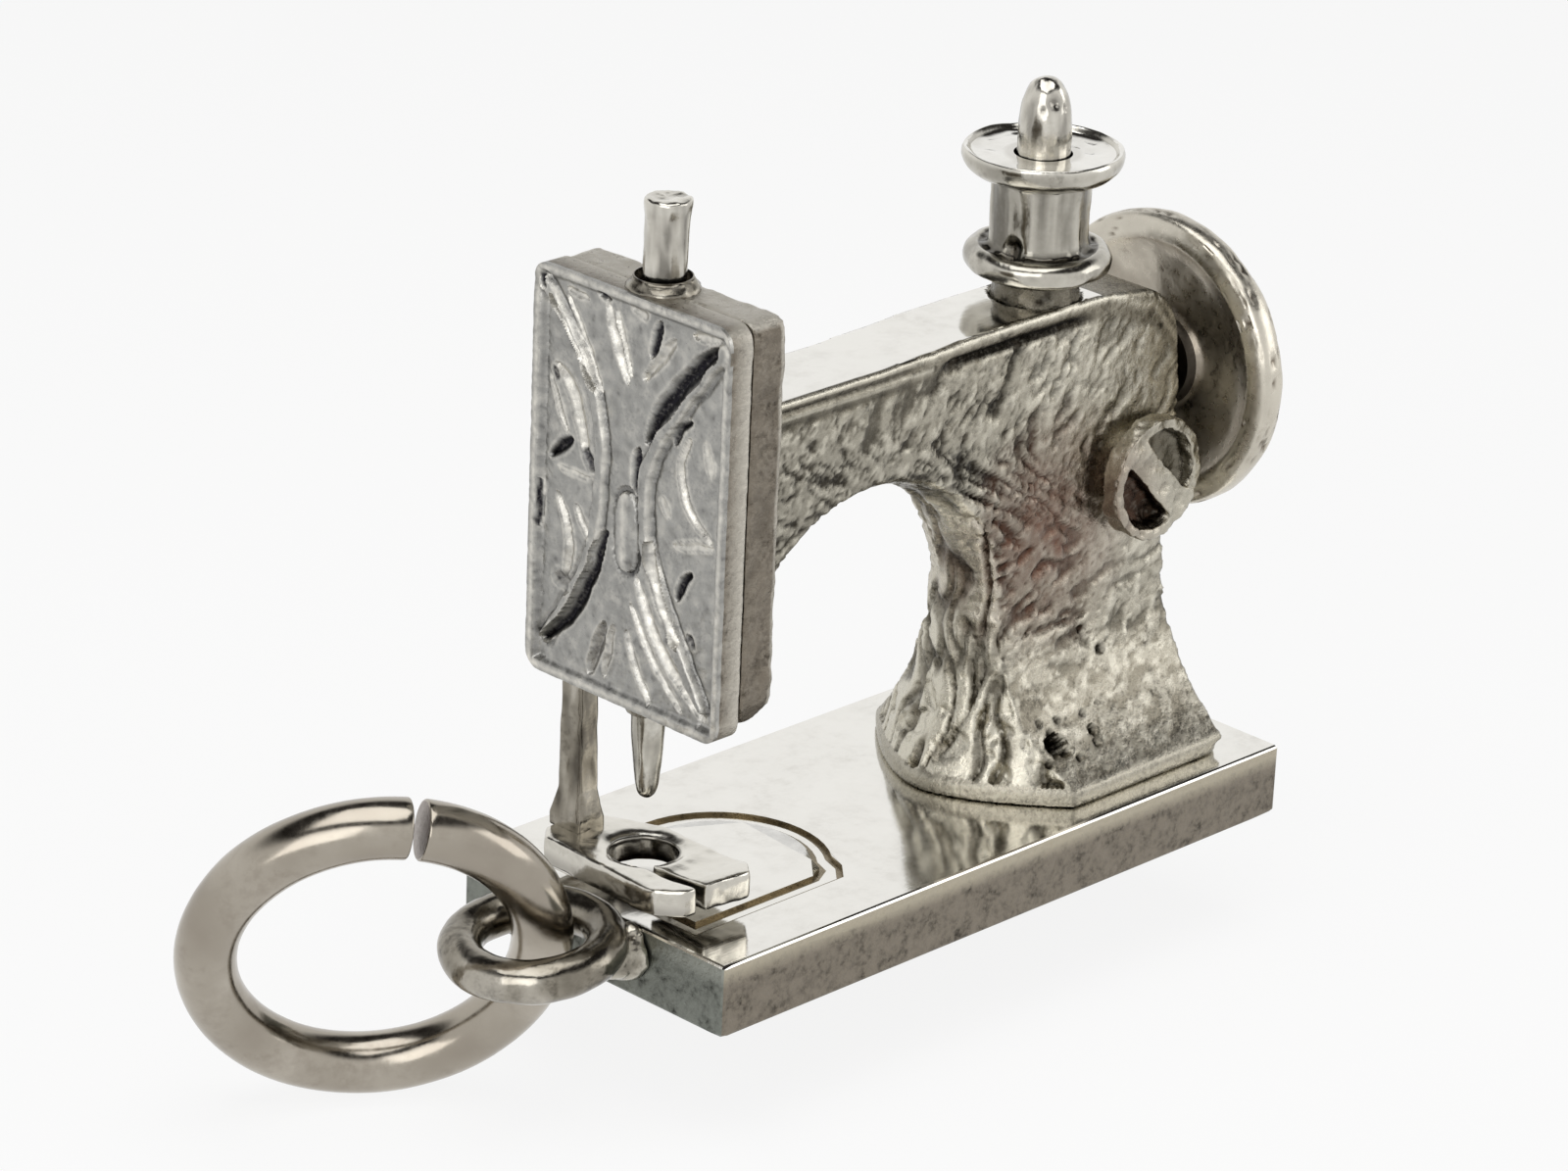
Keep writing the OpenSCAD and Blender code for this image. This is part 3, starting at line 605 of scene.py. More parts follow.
def makeRing(s):
    gapAngle = s["gap"] / s["mean"]
    bpy.ops.mesh.primitive_circle_add(vertices=40, radius=s["wire"] * mm, fill_type="NGON",
                                      location=metres(s["mean"], 0, 0), rotation=(math.pi / 2, 0, 0))
    obj = startPiece("jumpRing")
    editAll(obj)
    bpy.ops.mesh.spin(steps=150, angle=2 * math.pi - gapAngle, center=(0, 0, 0), axis=(0, 0, 1))
    outward(obj)
    roundEdges(obj, s["endBevel"], 60)
    applyAll(obj)
    carve(obj, dented(*s["dents"]))
    obj.data.transform(Matrix.Translation(Vector(s["hold"]) * mm)
                       @ Matrix.Rotation(math.radians(s["turn"]), 4, "Z")
                       @ Matrix.Rotation(math.radians(s["lean"]), 4, "Y")
                       @ Matrix.Translation((0, s["mean"] * mm, 0))
                       @ Matrix.Rotation(math.radians(s["gapAt"]) + gapAngle / 2, 4, "Z"))
    obj.data.update()
    finishPiece(obj, [wire, sawn], "ring", "jump_ring", 40)
    for f in obj.data.polygons:  # the two ends are the only faces with many corners
        f.material_index = 1 if len(f.vertices) > 8 else 0


makeRing(ringSettings)

armSettings = {
    "voxel": 0.07, "smoothing": 3,
    "topLine": [(-6.3, 11.31), (-1.95, 11.32), (-0.6, 11.37), (0.8, 11.43), (2.2, 11.45), (4.4, 11.45),
                (5.9, 11.0)],
    "endFall": 1.2,  # how steeply the line falls past its last point
    "topAbove": 11, "topNormal": 0.93, "levelUpTo": 4.3, "buffedUpTo": 4.4, "bareAbove": 10.8,
    # the bark-like flakes, which lie flatter low down, and the cracks between them
    "flakeLean": (12, 50), "leanHeights": (7.2, 9.4), "leanPerX": 0.25,
    "flakeLong": 0.62, "flakeWide": 0.26, "flakeDepth": 0.075, "warp": 0.30, "warpSizes": (0.9, 0.8),
    "crackLong": 0.75, "crackDepth": 0.06, "grainSize": 0.20, "grainDepth": 0.03,
    # where the skin is calmer: the foot, the thin end, the wheel's end, round the knob
    "smoothBelow": 3.4, "smoothFade": 1.4, "patchSize": 0.9, "thinFrom": 0.8, "thinTo": -2.0,
    "wheelEndFrom": 4.2, "knobX": 5.57, "knobZ": 7.47, "knobReach": 1.7,
    "plinthTop": 1.93, "plinthDents": (0.6, 0.01),
    "tornX": (1.6, 1.9), "tornZ": (7.3, 1.0),  # where the arm meets the column: middle and half width
    # painted shade, together with tarnish, darkens the arm low down under it, and the shoulder is painted
    # paler
    "shadeHeights": (9.9, 8.2), "shadePerX": 0.35, "shadeSize": 1.2, "shadeEnd": (5.2, 6.6),
    "shoulderHeights": (8.8, 10.2), "shoulderX": (1.5, 3.0),
    # folds that run down the arch's inner side, and the lumps at their foot; that side is painted lighter, as
    # painted light
    "archTop": (9.5, 8.0), "foldGap": 0.52, "foldLong": 2.2, "foldWave": 0.45, "foldDepth": 0.11,
    "lumpSize": 0.45, "lumpDepth": 0.10, "lumpHeights": (4.4, 3.0),
    # under the front's upper edge: two bright lines, painted highlights along the rounded edge and along a
    # ridge under it, by their distance under it and half width, and grooves, by from x, to x, distance under
    # the edge, half width and depth
    "edgeReach": (-0.2, 1.1), "calmAbove": (0.62, 0.36), "edgeLight": (0.05, 0.09),
    "ridgeLight": (0.34, 0.06), "ridgeUpTo": -0.5, "grooveFades": (0.5, 0.8),
    "grooves": [(-6.1, -0.6, 0.21, 0.07, 0.07), (-6.1, -0.6, 0.48, 0.08, 0.04),
                (-0.4, 4.3, 0.40, 0.10, 0.17)],
    # the foot's pits: x, z, radius, depth
    "pitsBelow": 5, "pitNoise": 0.13,
    "pits": [(2.50, 2.64, 0.17, 0.34), (2.68, 2.56, 0.17, 0.34), (3.67, 2.62, 0.09, 0.22),
             (3.66, 2.42, 0.08, 0.16), (2.35, 3.02, 0.06, 0.12), (3.0, 2.3, 0.05, 0.10),
             (2.2, 2.35, 0.07, 0.12), (2.85, 2.98, 0.05, 0.10), (4.6, 3.9, 0.10, 0.12),
             (4.2, 4.4, 0.08, 0.10), (3.6, 2.95, 0.06, 0.10)],
}


def makeArm(s):
    obj = evenSkin(skinOf("arm_column", "armCasting"), s)
    points = s["topLine"]

    def topAt(x):  # the height of the arm's upper edge
        for (x0, z0), (x1, z1) in zip(points, points[1:]):
            if x <= x1:
                return z0 + (z1 - z0) * step(0, 1, (x - x0) / (x1 - x0))
        return points[-1][1] - s["endFall"] * (x - points[-1][0])

    low, far = metres(s["topAbove"], s["levelUpTo"])
    topOnes = [v for v in obj.data.vertices if v.co.z > low and v.co.x < far and v.normal.z > s["topNormal"]]
    for v in topOnes:  # the arm's top is flat and bright
        v.co.z = topAt(v.co.x / mm) * mm
    obj.data.update()

    def bark(p):  # the shares of gap, crack and grain in the front's skin
        x, y, z = p
        flat, steep = s["flakeLean"]
        lean = math.radians(flat + (steep - flat) * step(*s["leanHeights"], z + s["leanPerX"] * x))
        ax, az = math.cos(lean), math.sin(lean)
        acrossSize, alongSize = s["warpSizes"]
        along = ax * x + az * z + s["warp"] * noise(p / alongSize + Vector((3, 1, 7)))
        across = (ax * z - az * x + s["warp"] * noise(p / acrossSize)) / s["flakeWide"]
        flake = fractal(Vector((along / s["flakeLong"], across, y * 0.5)), 0.9, 2.1, 4)
        rift = abs(fractal(Vector((along / s["crackLong"] + 5, across, y * 0.5)), 0.9, 2.0, 3))
        return step(-0.02, 0.42, flake), 1 - step(0.0, 0.11, rift), hollow(noise(p / s["grainSize"]))

    def workedAt(p, n):
        x, y, z = p
        if n.z > 0.8 and z > s["bareAbove"]:
            return 0.0, 0.0, 0.0
        if z < s["plinthTop"]:
            size, deep = s["plinthDents"]
            return deep * hollow(noise(p / size)), 0.1, 0.35
        under = topAt(x) - z
        side = min(1.0, abs(n.y) * 1.3)
        gap, crack, grain = bark(p)
        low = s["smoothBelow"]
        rugged = 0.12 + 0.88 * step(low, low + s["smoothFade"], z + 0.5 * noise(p / s["patchSize"]))
        ragged = hump(*s["tornX"], x) * hump(*s["tornZ"], z)
        thin = step(s["thinFrom"], s["thinTo"], x)
        rugged *= 1 - 0.5 * thin
        if x > s["wheelEndFrom"]:
            rugged *= 0.7
        depth = side * rugged * (s["flakeDepth"] * gap + s["grainDepth"] * grain
                                 + s["crackDepth"] * crack * (0.35 + 1.6 * ragged))
        dark = side * rugged * (0.75 * gap + 0.7 * crack * (0.5 + ragged) + 0.15 * grain)
        dark += 0.14 * side * thin
        bright = side * (1 - gap) * (1 - crack) * (0.30 + 0.35 * step(0.5, 0.2, grain))
        # painted shade low under the arm, with tarnish, and a paler shoulder
        shade = z + s["shadePerX"] * x + 0.8 * noise(p / s["shadeSize"])
        dark += 0.34 * side * step(*s["shadeHeights"], shade) * step(*s["shadeEnd"], z)
        bright += 0.25 * side * step(*s["shoulderHeights"], z) * step(*s["shoulderX"], x)
        # round the knob the front is smoother, and painted light makes it paler, in place of the knob's shade
        # and dark reflection
        nearKnob = hump(0, s["knobReach"], math.hypot(x - s["knobX"], z - s["knobZ"])) * (n.y < 0)
        depth *= 1 - 0.6 * nearKnob
        dark *= 1 - nearKnob
        bright += 0.7 * nearKnob
        inward = max(0.0, -n.x) * step(*s["archTop"], z)
        if inward > 0.15:
            wave = y + s["foldWave"] * noise(Vector((y * 1.2, z * 0.7, 3)))
            fold = abs(clouds(Vector((wave / s["foldGap"], z / s["foldLong"], x * 0.2)), 2))
            valley = 1 - step(0.0, 0.22, fold)
            share = min(1.0, inward * 1.4)
            depth += share * s["foldDepth"] * valley
            # painted light: on the inner side the dark is cut back
            dark = dark * (1 - 0.6 * share) + share * 0.6 * valley
            bright += share * (1 - valley) * step(0.10, 0.35, fold)
            lump = step(0.15, 0.45, clouds(p / s["lumpSize"], 2)) * step(*s["lumpHeights"], z)
            depth += share * s["lumpDepth"] * lump
        depth += 0.5 * max(0.0, n.x) * s["flakeDepth"] * gap
        front = n.y < -0.2
        if front and s["edgeReach"][0] < under < s["edgeReach"][1]:  # the raised edge and its grooves
            calm = 1 - 0.85 * step(*s["calmAbove"], under)
            depth, dark, bright = depth * calm, dark * calm, bright * calm
            # painted highlights along the edge and the ridge
            ridge = 0.8 * hump(*s["ridgeLight"], under) * (x < s["ridgeUpTo"])
            bright += 0.75 * (hump(*s["edgeLight"], under) + ridge)
            rise, fall = s["grooveFades"]
            for x0, x1, middle, half, deep in s["grooves"]:
                share = hump(middle, half, under) * step(x0, x0 + rise, x) * step(x1, x1 - fall, x)
                depth += deep * share
                dark += 1.1 * share * deep / 0.1
                bright -= share
        if front and z < s["pitsBelow"]:
            for px, pz, r, deep in s["pits"]:
                gone = ((x - px) ** 2 + (z - pz) ** 2) / (r * (1 + 0.5 * noise(p / s["pitNoise"]))) ** 2
                if gone < 4:
                    share = math.exp(-gone ** 3)
                    depth += deep * share
                    dark += 2 * share
                    bright -= 2 * share
        return depth, dark, bright

    carve(obj, workedAt)
    finishPiece(obj, [cast, buffed], "machine", "arm_column")
    paint(obj, lambda c, n: n.z > s["topNormal"] and c.z > s["topAbove"] and c.x < s["buffedUpTo"])


makeArm(armSettings)

headSettings = {"bottom": 5.67, "width": 5.22, "height": 8.24}  # the face plate and the housing share these

# The ornament is given as (across, up) from the plate's lower middle in mm; across grows towards the back.
# Each line has its width, its depth and how dark it is.
plateSettings = {
    **headSettings, "frontX": -7.73, "thick": 0.65, "corner": 0.35,
    "border": 0.17, "slope": 0.10, "ground": 0.10, "lens": 0.045, "columns": 170, "rows": 260,
    "shallowest": 0.004, "deepest": 0.29,
    "noises": (2.2, 2.7, 4.1, 9.7), "waver": 0.045,  # waves to a mm: swell, waver, mottle and specks
    # along the border, a dark gutter and a painted highlight: distance from the edge, half width, strength
    "gutter": (0.05, 0.05, 0.22), "borderLight": (0.10, 0.06, 0.55),
    # two long raised bands, back to back, with a line cut along each side
    "bands": [
        [(-2.39, 7.76), (-1.75, 6.93), (-1.01, 5.97), (-0.48, 4.86), (-0.44, 3.79), (-0.71, 2.87),
         (-1.29, 1.85), (-2.05, 0.63)],
        [(2.37, 7.84), (1.81, 7.21), (1.28, 6.51), (0.89, 5.7), (0.77, 4.81), (0.81, 3.73), (1.04, 2.65),
         (1.59, 1.59), (2.16, 0.73)],
    ],
    "bandWidth": 0.58, "bandCut": (0.09, 0.08), "bandCutDepth": 0.035, "bandTop": 0.10,
    # bandLight: a painted highlight along each band
    "bandLight": (0.17, 0.05), "swell": 0.014, "roughness": 0.010,
    "burrWidth": 0.16, "burrHeight": 0.03,  # the metal thrown up beside a cut, painted bright as a highlight
    "cuts": [
        # deep slanting cuts beside the bands
        ([(-2.20, 7.74), (-1.36, 6.86), (-0.80, 6.15), (-0.42, 5.45)], 0.46, 0.17, 1.0),
        ([(2.21, 0.64), (1.55, 1.30), (1.0, 2.2), (0.58, 3.35)], 0.34, 0.14, 1.0),
        ([(-0.22, 5.25), (-0.15, 4.35)], 0.30, 0.12, 1.0),
        ([(-0.70, 7.85), (-0.50, 7.15)], 0.26, 0.10, 1.0),
        # nicks inside the border
        ([(1.75, 7.86), (1.2, 7.80)], 0.16, 0.05, 0.0),
        ([(0.92, 8.0), (0.62, 7.96)], 0.20, 0.08, 1.0),
        ([(2.42, 7.95), (2.38, 7.8)], 0.18, 0.08, 1.0),
        ([(-0.05, 7.95), (-0.30, 7.90)], 0.18, 0.05, 0.0),
        ([(-1.55, 7.88), (-2.25, 7.95)], 0.22, 0.05, 0.0),
        ([(2.12, 6.16), (2.05, 6.0)], 0.18, 0.08, 1.0),
        ([(2.40, 3.9), (2.40, 2.9)], 0.12, 0.05, 1.0),
        # fans at the top and the bottom
        ([(2.18, 7.63), (1.5, 6.75), (0.95, 6.08)], 0.20, 0.08, 0.0),
        ([(1.75, 7.75), (1.2, 6.85), (0.8, 6.1)], 0.15, 0.06, 0.0),
        ([(0.71, 7.88), (0.40, 7.1), (0.12, 6.45)], 0.24, 0.09, 0.1),
        ([(0.45, 7.8), (0.2, 7.1), (0.0, 6.6)], 0.14, 0.05, 0.0),
        ([(-1.1, 7.65), (-0.7, 7.1), (-0.32, 6.65)], 0.24, 0.09, 0.1),
        ([(-0.27, 2.66), (-0.9, 1.55), (-2.15, 0.39)], 0.30, 0.10, 0.0),
        ([(-0.15, 2.1), (-0.8, 1.15), (-1.6, 0.35)], 0.18, 0.07, 0.1),
        ([(-0.05, 1.52), (-0.35, 0.85), (-0.73, 0.25)], 0.20, 0.08, 0.15),
        ([(0.54, 1.46), (0.75, 0.9), (0.95, 0.37)], 0.30, 0.11, 0.55),
        ([(0.3, 1.5), (0.42, 0.9), (0.5, 0.4)], 0.18, 0.07, 0.25),
        # leaves in the left lens
        ([(2.12, 6.24), (1.72, 6.02), (1.42, 5.45), (1.21, 4.68)], 0.44, 0.13, 0.0),
        ([(2.20, 6.0), (1.95, 5.4), (1.75, 5.0)], 0.16, 0.08, 0.2),
        ([(2.16, 4.39), (1.95, 4.6), (1.62, 4.88)], 0.34, 0.16, 1.0),
        ([(1.25, 4.75), (1.0, 4.40)], 0.34, 0.15, 0.95),
        ([(1.95, 4.22), (1.0, 4.22)], 0.12, 0.07, 0.0),
        ([(1.98, 3.72), (1.66, 3.1), (1.60, 2.5), (1.74, 1.95)], 0.26, 0.13, 0.15),
        ([(1.45, 3.6), (1.05, 3.0)], 0.24, 0.10, 0.1),
        ([(1.86, 2.01), (1.66, 1.95)], 0.40, 0.13, 0.7),
        # leaves in the right lens
        ([(-1.55, 6.15), (-1.28, 5.95), (-1.12, 5.6)], 0.22, 0.13, 0.95),
        ([(-1.50, 5.80), (-1.33, 5.1), (-1.55, 4.45), (-2.16, 3.93)], 0.26, 0.12, 0.0),
        ([(-1.95, 5.85), (-2.12, 5.2)], 0.24, 0.07, 0.0),
        ([(-0.62, 3.46), (-0.72, 2.8), (-0.98, 2.25), (-1.45, 1.65)], 0.34, 0.12, 0.0),
        ([(-1.67, 3.18), (-1.50, 2.95), (-1.34, 2.55)], 0.26, 0.15, 1.0),
        ([(-1.69, 1.85), (-1.72, 1.8)], 0.26, 0.14, 0.85),
        ([(-2.2, 3.86), (-1.7, 3.75), (-1.2, 3.6)], 0.22, 0.08, 0.0),
        ([(-0.85, 4.45), (-1.05, 4.1)], 0.2, 0.06, 0.0),
    ],
    # raised middle: across, up, half width, half height; it stands in a moat, with a painted highlight down
    # its middle
    "pellet": (0.02, 3.5, 0.30, 0.80), "pelletDepth": 0.015, "pelletRound": 0.05, "moatDepth": 0.14,
    "pelletLight": (0.05, 0.16),
    # behind the front: how far each ring of the sides goes back, with the seam last, and the back's narrowing
    "sideRings": (0.08, 0.45, 0.04, 0.07), "backSize": (1, 0.972, 0.982), "seamWidth": 0.14,
    "frontLip": 0.06, "deepestFront": 0.3, "edgeBand": 0.1,
}


def peak(value, middle, half):  # 1 at the middle, falling straight to 0 on both sides
    return np.clip(1 - np.abs(value - middle) / half, 0, 1)


# How near each point lies to a line, 1 on it to 0 at half its width; with taper the line thins at both ends.
def lineShare(px, py, points, width, taper=True):
    line = smoothLine(points, parts=6)
    whole = sum(math.dist(a, b) for a, b in zip(line, line[1:]))
    share = np.zeros_like(px)
    gone = 0.0
    for (ax, ay), (bx, by) in zip(line, line[1:]):
        length = max(1e-6, math.dist((ax, ay), (bx, by)))
        t = np.clip(((px - ax) * (bx - ax) + (py - ay) * (by - ay)) / length ** 2, 0, 1)
        away = np.hypot(px - ax - t * (bx - ax), py - ay - t * (by - ay))
        run = (gone + t * length) / whole
        half = width / 2 * np.ones_like(run)
        if taper and whole > 0.3:
            half *= 0.3 + 0.7 * np.sqrt(np.clip(4 * run * (1 - run), 0, 1))
        share = np.maximum(share, np.clip(1 - away / half, 0, 1))
        gone += length
    return share


def makeFacePlate(s):
    bpy.ops.mesh.primitive_grid_add(x_subdivisions=s["columns"], y_subdivisions=s["rows"], size=1)
    obj = startPiece("facePlate")
    mesh = obj.data
    co = np.array([v.co for v in mesh.vertices])
    u, v = co[:, 0] * s["width"], co[:, 1] * s["height"]
    # the corners are drawn in to their radius
    r, hw, hh = s["corner"], s["width"] / 2, s["height"] / 2
    over = np.hypot(np.clip(np.abs(u) - (hw - r), 0, None), np.clip(np.abs(v) - (hh - r), 0, None))
    pull = np.where(over > r, r / np.maximum(over, 1e-6), 1.0)
    u = np.where(over > r, np.sign(u) * ((hw - r) + (np.abs(u) - (hw - r)) * pull), u)
    v = np.where(over > r, np.sign(v) * ((hh - r) + (np.abs(v) - (hh - r)) * pull), v)
    up = v + hh
    rim = np.minimum(hw - np.abs(u), hh - np.abs(v))
    inside = np.clip((rim - s["border"]) / s["slope"], 0, 1)
    right, left = (np.array(sorted((b, a) for a, b in smoothLine(line))) for line in s["bands"])
    lens = (u < np.interp(up, right[:, 0], right[:, 1])) | (u > np.interp(up, left[:, 0], left[:, 1]))
    depth = inside * (s["ground"] + s["lens"] * lens)
    place, half, strength = s["gutter"]
    dark = strength * np.exp(-((rim - s["border"] - place) / half) ** 2)
    # painted highlight along the border
    place, half, strength = s["borderLight"]
    bright = strength * np.exp(-((rim - place) / half) ** 2)
    # an unsteady hand: the lines waver, and the ground is mottled
    wave, waver, mottle, speck = (np.array([noise(Vector((a * k, b * k, k))) for a, b in zip(u, up)])
                                  for k in s["noises"])
    lineU, lineUp = u + s["waver"] * waver, up + s["waver"] * wave
    for line in s["bands"]:
        share = lineShare(lineU, lineUp, line, s["bandWidth"], False) * s["bandWidth"] / 2
        edge = peak(share, *s["bandCut"])
        top = np.clip((share - s["bandTop"]) / s["bandTop"], 0, 1)
        depth = np.where(top > 0, depth * (1 - top), depth) + s["bandCutDepth"] * edge
        dark = np.maximum(dark, 0.40 * edge * (top < 0.3))
        # painted highlight along each band
        bright = np.maximum(bright, 0.55 * peak(share, *s["bandLight"]))
    for line, width, deep, black in s["cuts"]:
        share = lineShare(lineU, lineUp, line, width)
        burr = lineShare(lineU, lineUp, line, width + s["burrWidth"]) * (share == 0)
        cut = inside * s["ground"] * (share > 0) + deep * share ** 0.8
        depth = np.maximum(depth, cut) - s["burrHeight"] * burr * inside
        dark = np.maximum(dark, black * np.clip(share * 2.2 - 0.3, 0, 1))
        # painted highlights on the shallow cuts and on the burrs beside the cuts
        shine = (1 - black) * np.clip(1.4 * share, 0, 0.6)
        bright = np.maximum(bright * (1 - black * np.clip(3 * share, 0, 1)), shine)
        bright = np.maximum(bright, 0.5 * np.clip(3 * burr, 0, 1) * inside)
    cx, cz, pw, ph = s["pellet"]
    oval = ((u - cx) / pw) ** 2 + (np.abs(up - cz) / ph) ** 4  # up to 1 on the pellet, over it in the moat
    moat = np.where(oval < 1.7, np.maximum(depth, s["moatDepth"]), depth)
    depth = np.where(oval < 1, s["pelletDepth"] + s["pelletRound"] * oval ** 2, moat)
    dark = np.where((oval >= 1) & (oval < 1.6), np.maximum(dark, 0.5), np.where(oval < 1, 0, dark))
    # painted highlight down the pellet's middle
    bright = np.where(oval < 1, 0.55 * peak(u - cx, *s["pelletLight"]), bright)
    bright = np.clip(bright * (0.85 + 0.6 * speck) + 0.35 * np.clip(mottle, 0, 1) * (dark < 0.3), 0, 1)
    dark = np.clip(dark + 0.45 * np.clip(-mottle - 0.05, 0, 1) + 0.7 * np.clip(-speck - 0.25, 0, 1), 0, 1)
    depth = depth + s["swell"] * (0.5 + wave) + s["roughness"] * (mottle + speck)
    depth = np.clip(depth, s["shallowest"], s["deepest"])
    out = np.stack([s["frontX"] + depth, midY + u, s["bottom"] + up], axis=1) * mm
    mesh.vertices.foreach_set("co", out.astype(np.float32).ravel())
    keep(mesh, dark.astype(np.float32), bright.astype(np.float32))
    # the plate's sides and back, with a rounded edge in front and a seam behind
    editAll(obj, "EDGE")
    bpy.ops.mesh.region_to_loop()
    for way in s["sideRings"]:
        extrude(way, 0, 0)
    bpy.ops.transform.resize(value=s["backSize"], center_override=metres(0, midY, s["bottom"] + hh))
    bpy.ops.mesh.edge_face_add()
    outward(obj)
    finishPiece(obj, [engraved, headSide], "machine", "face_plate", 50)
    hollows, crests = (obj.data.attributes[name].data for name in ("hollow", "crestAndLight"))
    seam = s["frontX"] + s["thick"] - s["seamWidth"]
    for i, v in enumerate(obj.data.vertices):
        if v.co.x > (s["frontX"] + s["deepestFront"]) * mm:
            # the seam behind is pale; the upward faces are painted pale as painted light
            pale = v.co.x > seam * mm or v.normal.z > 0.6
            hollows[i].value = 0.0 if pale else 0.7
            crests[i].value = 0.8 if pale else 0.0

    def finishAt(c, n):
        fromEdge = min(hw - abs(c.y - midY), hh - abs(c.z - s["bottom"] - hh))
        sideways = max(abs(n.y), abs(n.z)) > 0.5
        return sideways and fromEdge < s["edgeBand"] and c.x > s["frontX"] + s["frontLip"]

    paint(obj, finishAt)


makeFacePlate(plateSettings)

housingSettings = {
    **headSettings, "frontX": -7.08, "backX": -6.24, "lowCorner": 0.6, "highCorner": 0.35, "edge": 0.09,
    "voxel": 0.06, "smoothing": 2, "dentSize": 0.7, "dentDepth": 0.04, "grainSize": 0.14, "grainDepth": 0.012,
    "palesFrom": 0.16, "palesTo": 0.06,  # the back's edge, by distance in front of the back
    # the boss of a sprue, filed down, low on the front side: x, z, radius
    "bump": (-6.42, 6.75, 0.17), "bumpScale": (1, 0.8, 1.6), "bumpSunk": 0.06,
}


def makeHousing(s):
    middle = ((s["frontX"] + s["backX"]) / 2, midY, s["bottom"] + s["height"] / 2)
    obj = block("headHousing", middle, (s["backX"] - s["frontX"], s["width"], s["height"]))
    for low, radius in ((True, s["lowCorner"]), (False, s["highCorner"])):
        editSome(obj, "EDGE", lambda a, b: abs(a.y - b.y) < near and abs(a.z - b.z) < near
                 and ((a.z < middle[2]) == low))
        bpy.ops.mesh.bevel(offset=radius * mm, segments=8, affect="EDGES")
        objectMode()
    roundEdges(obj, s["edge"], 50)
    applyAll(obj)
    x, z, radius = s["bump"]
    bpy.ops.mesh.primitive_uv_sphere_add(segments=24, ring_count=12, radius=radius * mm,
                                         location=metres(x, midY - s["width"] / 2 + s["bumpSunk"], z))
    startPiece("bump", s["bumpScale"])
    obj.select_set(True)
    bpy.context.view_layer.objects.active = obj
    bpy.ops.object.join()
    evenSkin(obj, s)

    def workedAt(p, n):
        share = hollow(clouds(p / s["dentSize"] + Vector((2, 7, 1))))
        grain = hollow(noise(p / s["grainSize"]))
        edge = 0.75 * step(s["backX"] - s["palesFrom"], s["backX"] - s["palesTo"], p.x) * (n.x < 0.8)
        # painted light: the upward faces are painted pale
        top = step(0.4, 0.8, n.z)
        return s["dentDepth"] * share + s["grainDepth"] * grain, 0.5 * share ** 2 * (1 - top), max(edge, top)

    carve(obj, workedAt)
    finishPiece(obj, [headSide], "machine", "head_housing", 50)


makeHousing(housingSettings)

# Small turned collars, rough outside and left smooth in their bore.
topBushSettings = {
    "name": "topBush", "node": "top_bush", "slot": "solder_silver", "finish": solder, "degrees": 60,
    "x": needleX, "bore": 0.57, "dents": (0.3, 0.05, 1.0), "darkness": 0.45, "pale": 0.5, "steps": 48,
    "profile": [(0.505, 13.86), (0.505, 13.86), (0.74, 13.86), (0.74, 13.86), (0.71, 13.95), (0.64, 14.04),
                (0.59, 14.12), (0.545, 14.13), (0.545, 14.13), (0.535, 13.96), (0.505, 13.86)],
}
lowBushSettings = {
    **topBushSettings, "name": "lowBush", "node": "lower_bush", "bore": 0.42,
    "profile": [(0.39, 5.37), (0.39, 5.37), (0.46, 5.37), (0.50, 5.46), (0.60, 5.62), (0.66, 5.70),
                (0.66, 5.70), (0.39, 5.70), (0.39, 5.70), (0.39, 5.37)],
}


def makeCollar(s):
    obj = lathe(s["name"], s, s["x"])
    rough = dented(*s["dents"])

    def workedAt(p, n):
        depth, dark, bright = rough(p, n)
        outer = math.hypot(p.x - s["x"], p.y - midY) > s["bore"]
        # darkness: an even darkening; on the spool's seat it is painted shade
        return depth * outer, max(dark, s["darkness"]), bright * s["pale"]

    carve(obj, workedAt)
    finishPiece(obj, [s["finish"]], "machine", s["node"], s["degrees"])


makeCollar(topBushSettings)
makeCollar(lowBushSettings)

needleBarSettings = {
    # it leans as far as it can without touching its bush at the end of its way
    "lean": 1.5, "leanWay": (0.72, -0.70), "leanFrom": 13.9, "dents": (0.32, 0.035, 0.9, 3.5),
    "darkHeights": (14.45, 14.0), "paleHeights": (15.3, 15.5),
    # the flat that carries the yoke and clears the crank: from x, from z, to z
    "flat": (-6.955, 8.03, 11.77), "steps": 64,
    "profile": [(0, 7.72), (0.40, 7.72), (0.40, 7.72), (0.43, 7.8), (0.43, 14.2), (0.425, 14.8),
                (0.43, 15.25), (0.455, 15.42), (0.47, 15.54), (0.45, 15.62), (0.39, 15.65), (0.2, 15.64),
                (0, 15.635)],
}


def makeNeedleBar(s):
    obj = lathe("needleBar", s, needleX)
    tilt = math.tan(math.radians(s["lean"]))
    for v in obj.data.vertices:
        over = max(0.0, v.co.z / mm - s["leanFrom"])
        v.co.x += tilt * over * s["leanWay"][0] * mm
        v.co.y += tilt * over * s["leanWay"][1] * mm
    obj.data.update()
    front, low, high = s["flat"]
    cutter = block("cutter", (front + 0.5, midY, (low + high) / 2), (1, 2, high - low))
    addModifier(obj, "BOOLEAN", object=cutter, operation="DIFFERENCE")
    applyAll(obj)
    bpy.data.objects.remove(cutter)
    marks = dented(*s["dents"])

    def workedAt(p, n):
        depth, dark, bright = marks(p, n)
        return depth, dark + 0.8 * step(*s["darkHeights"], p.z), bright + 0.3 * step(*s["paleHeights"], p.z)

    carve(obj, workedAt)
    finishPiece(obj, [rubbed], "needle_set", "needle_bar", 40)


makeNeedleBar(needleBarSettings)

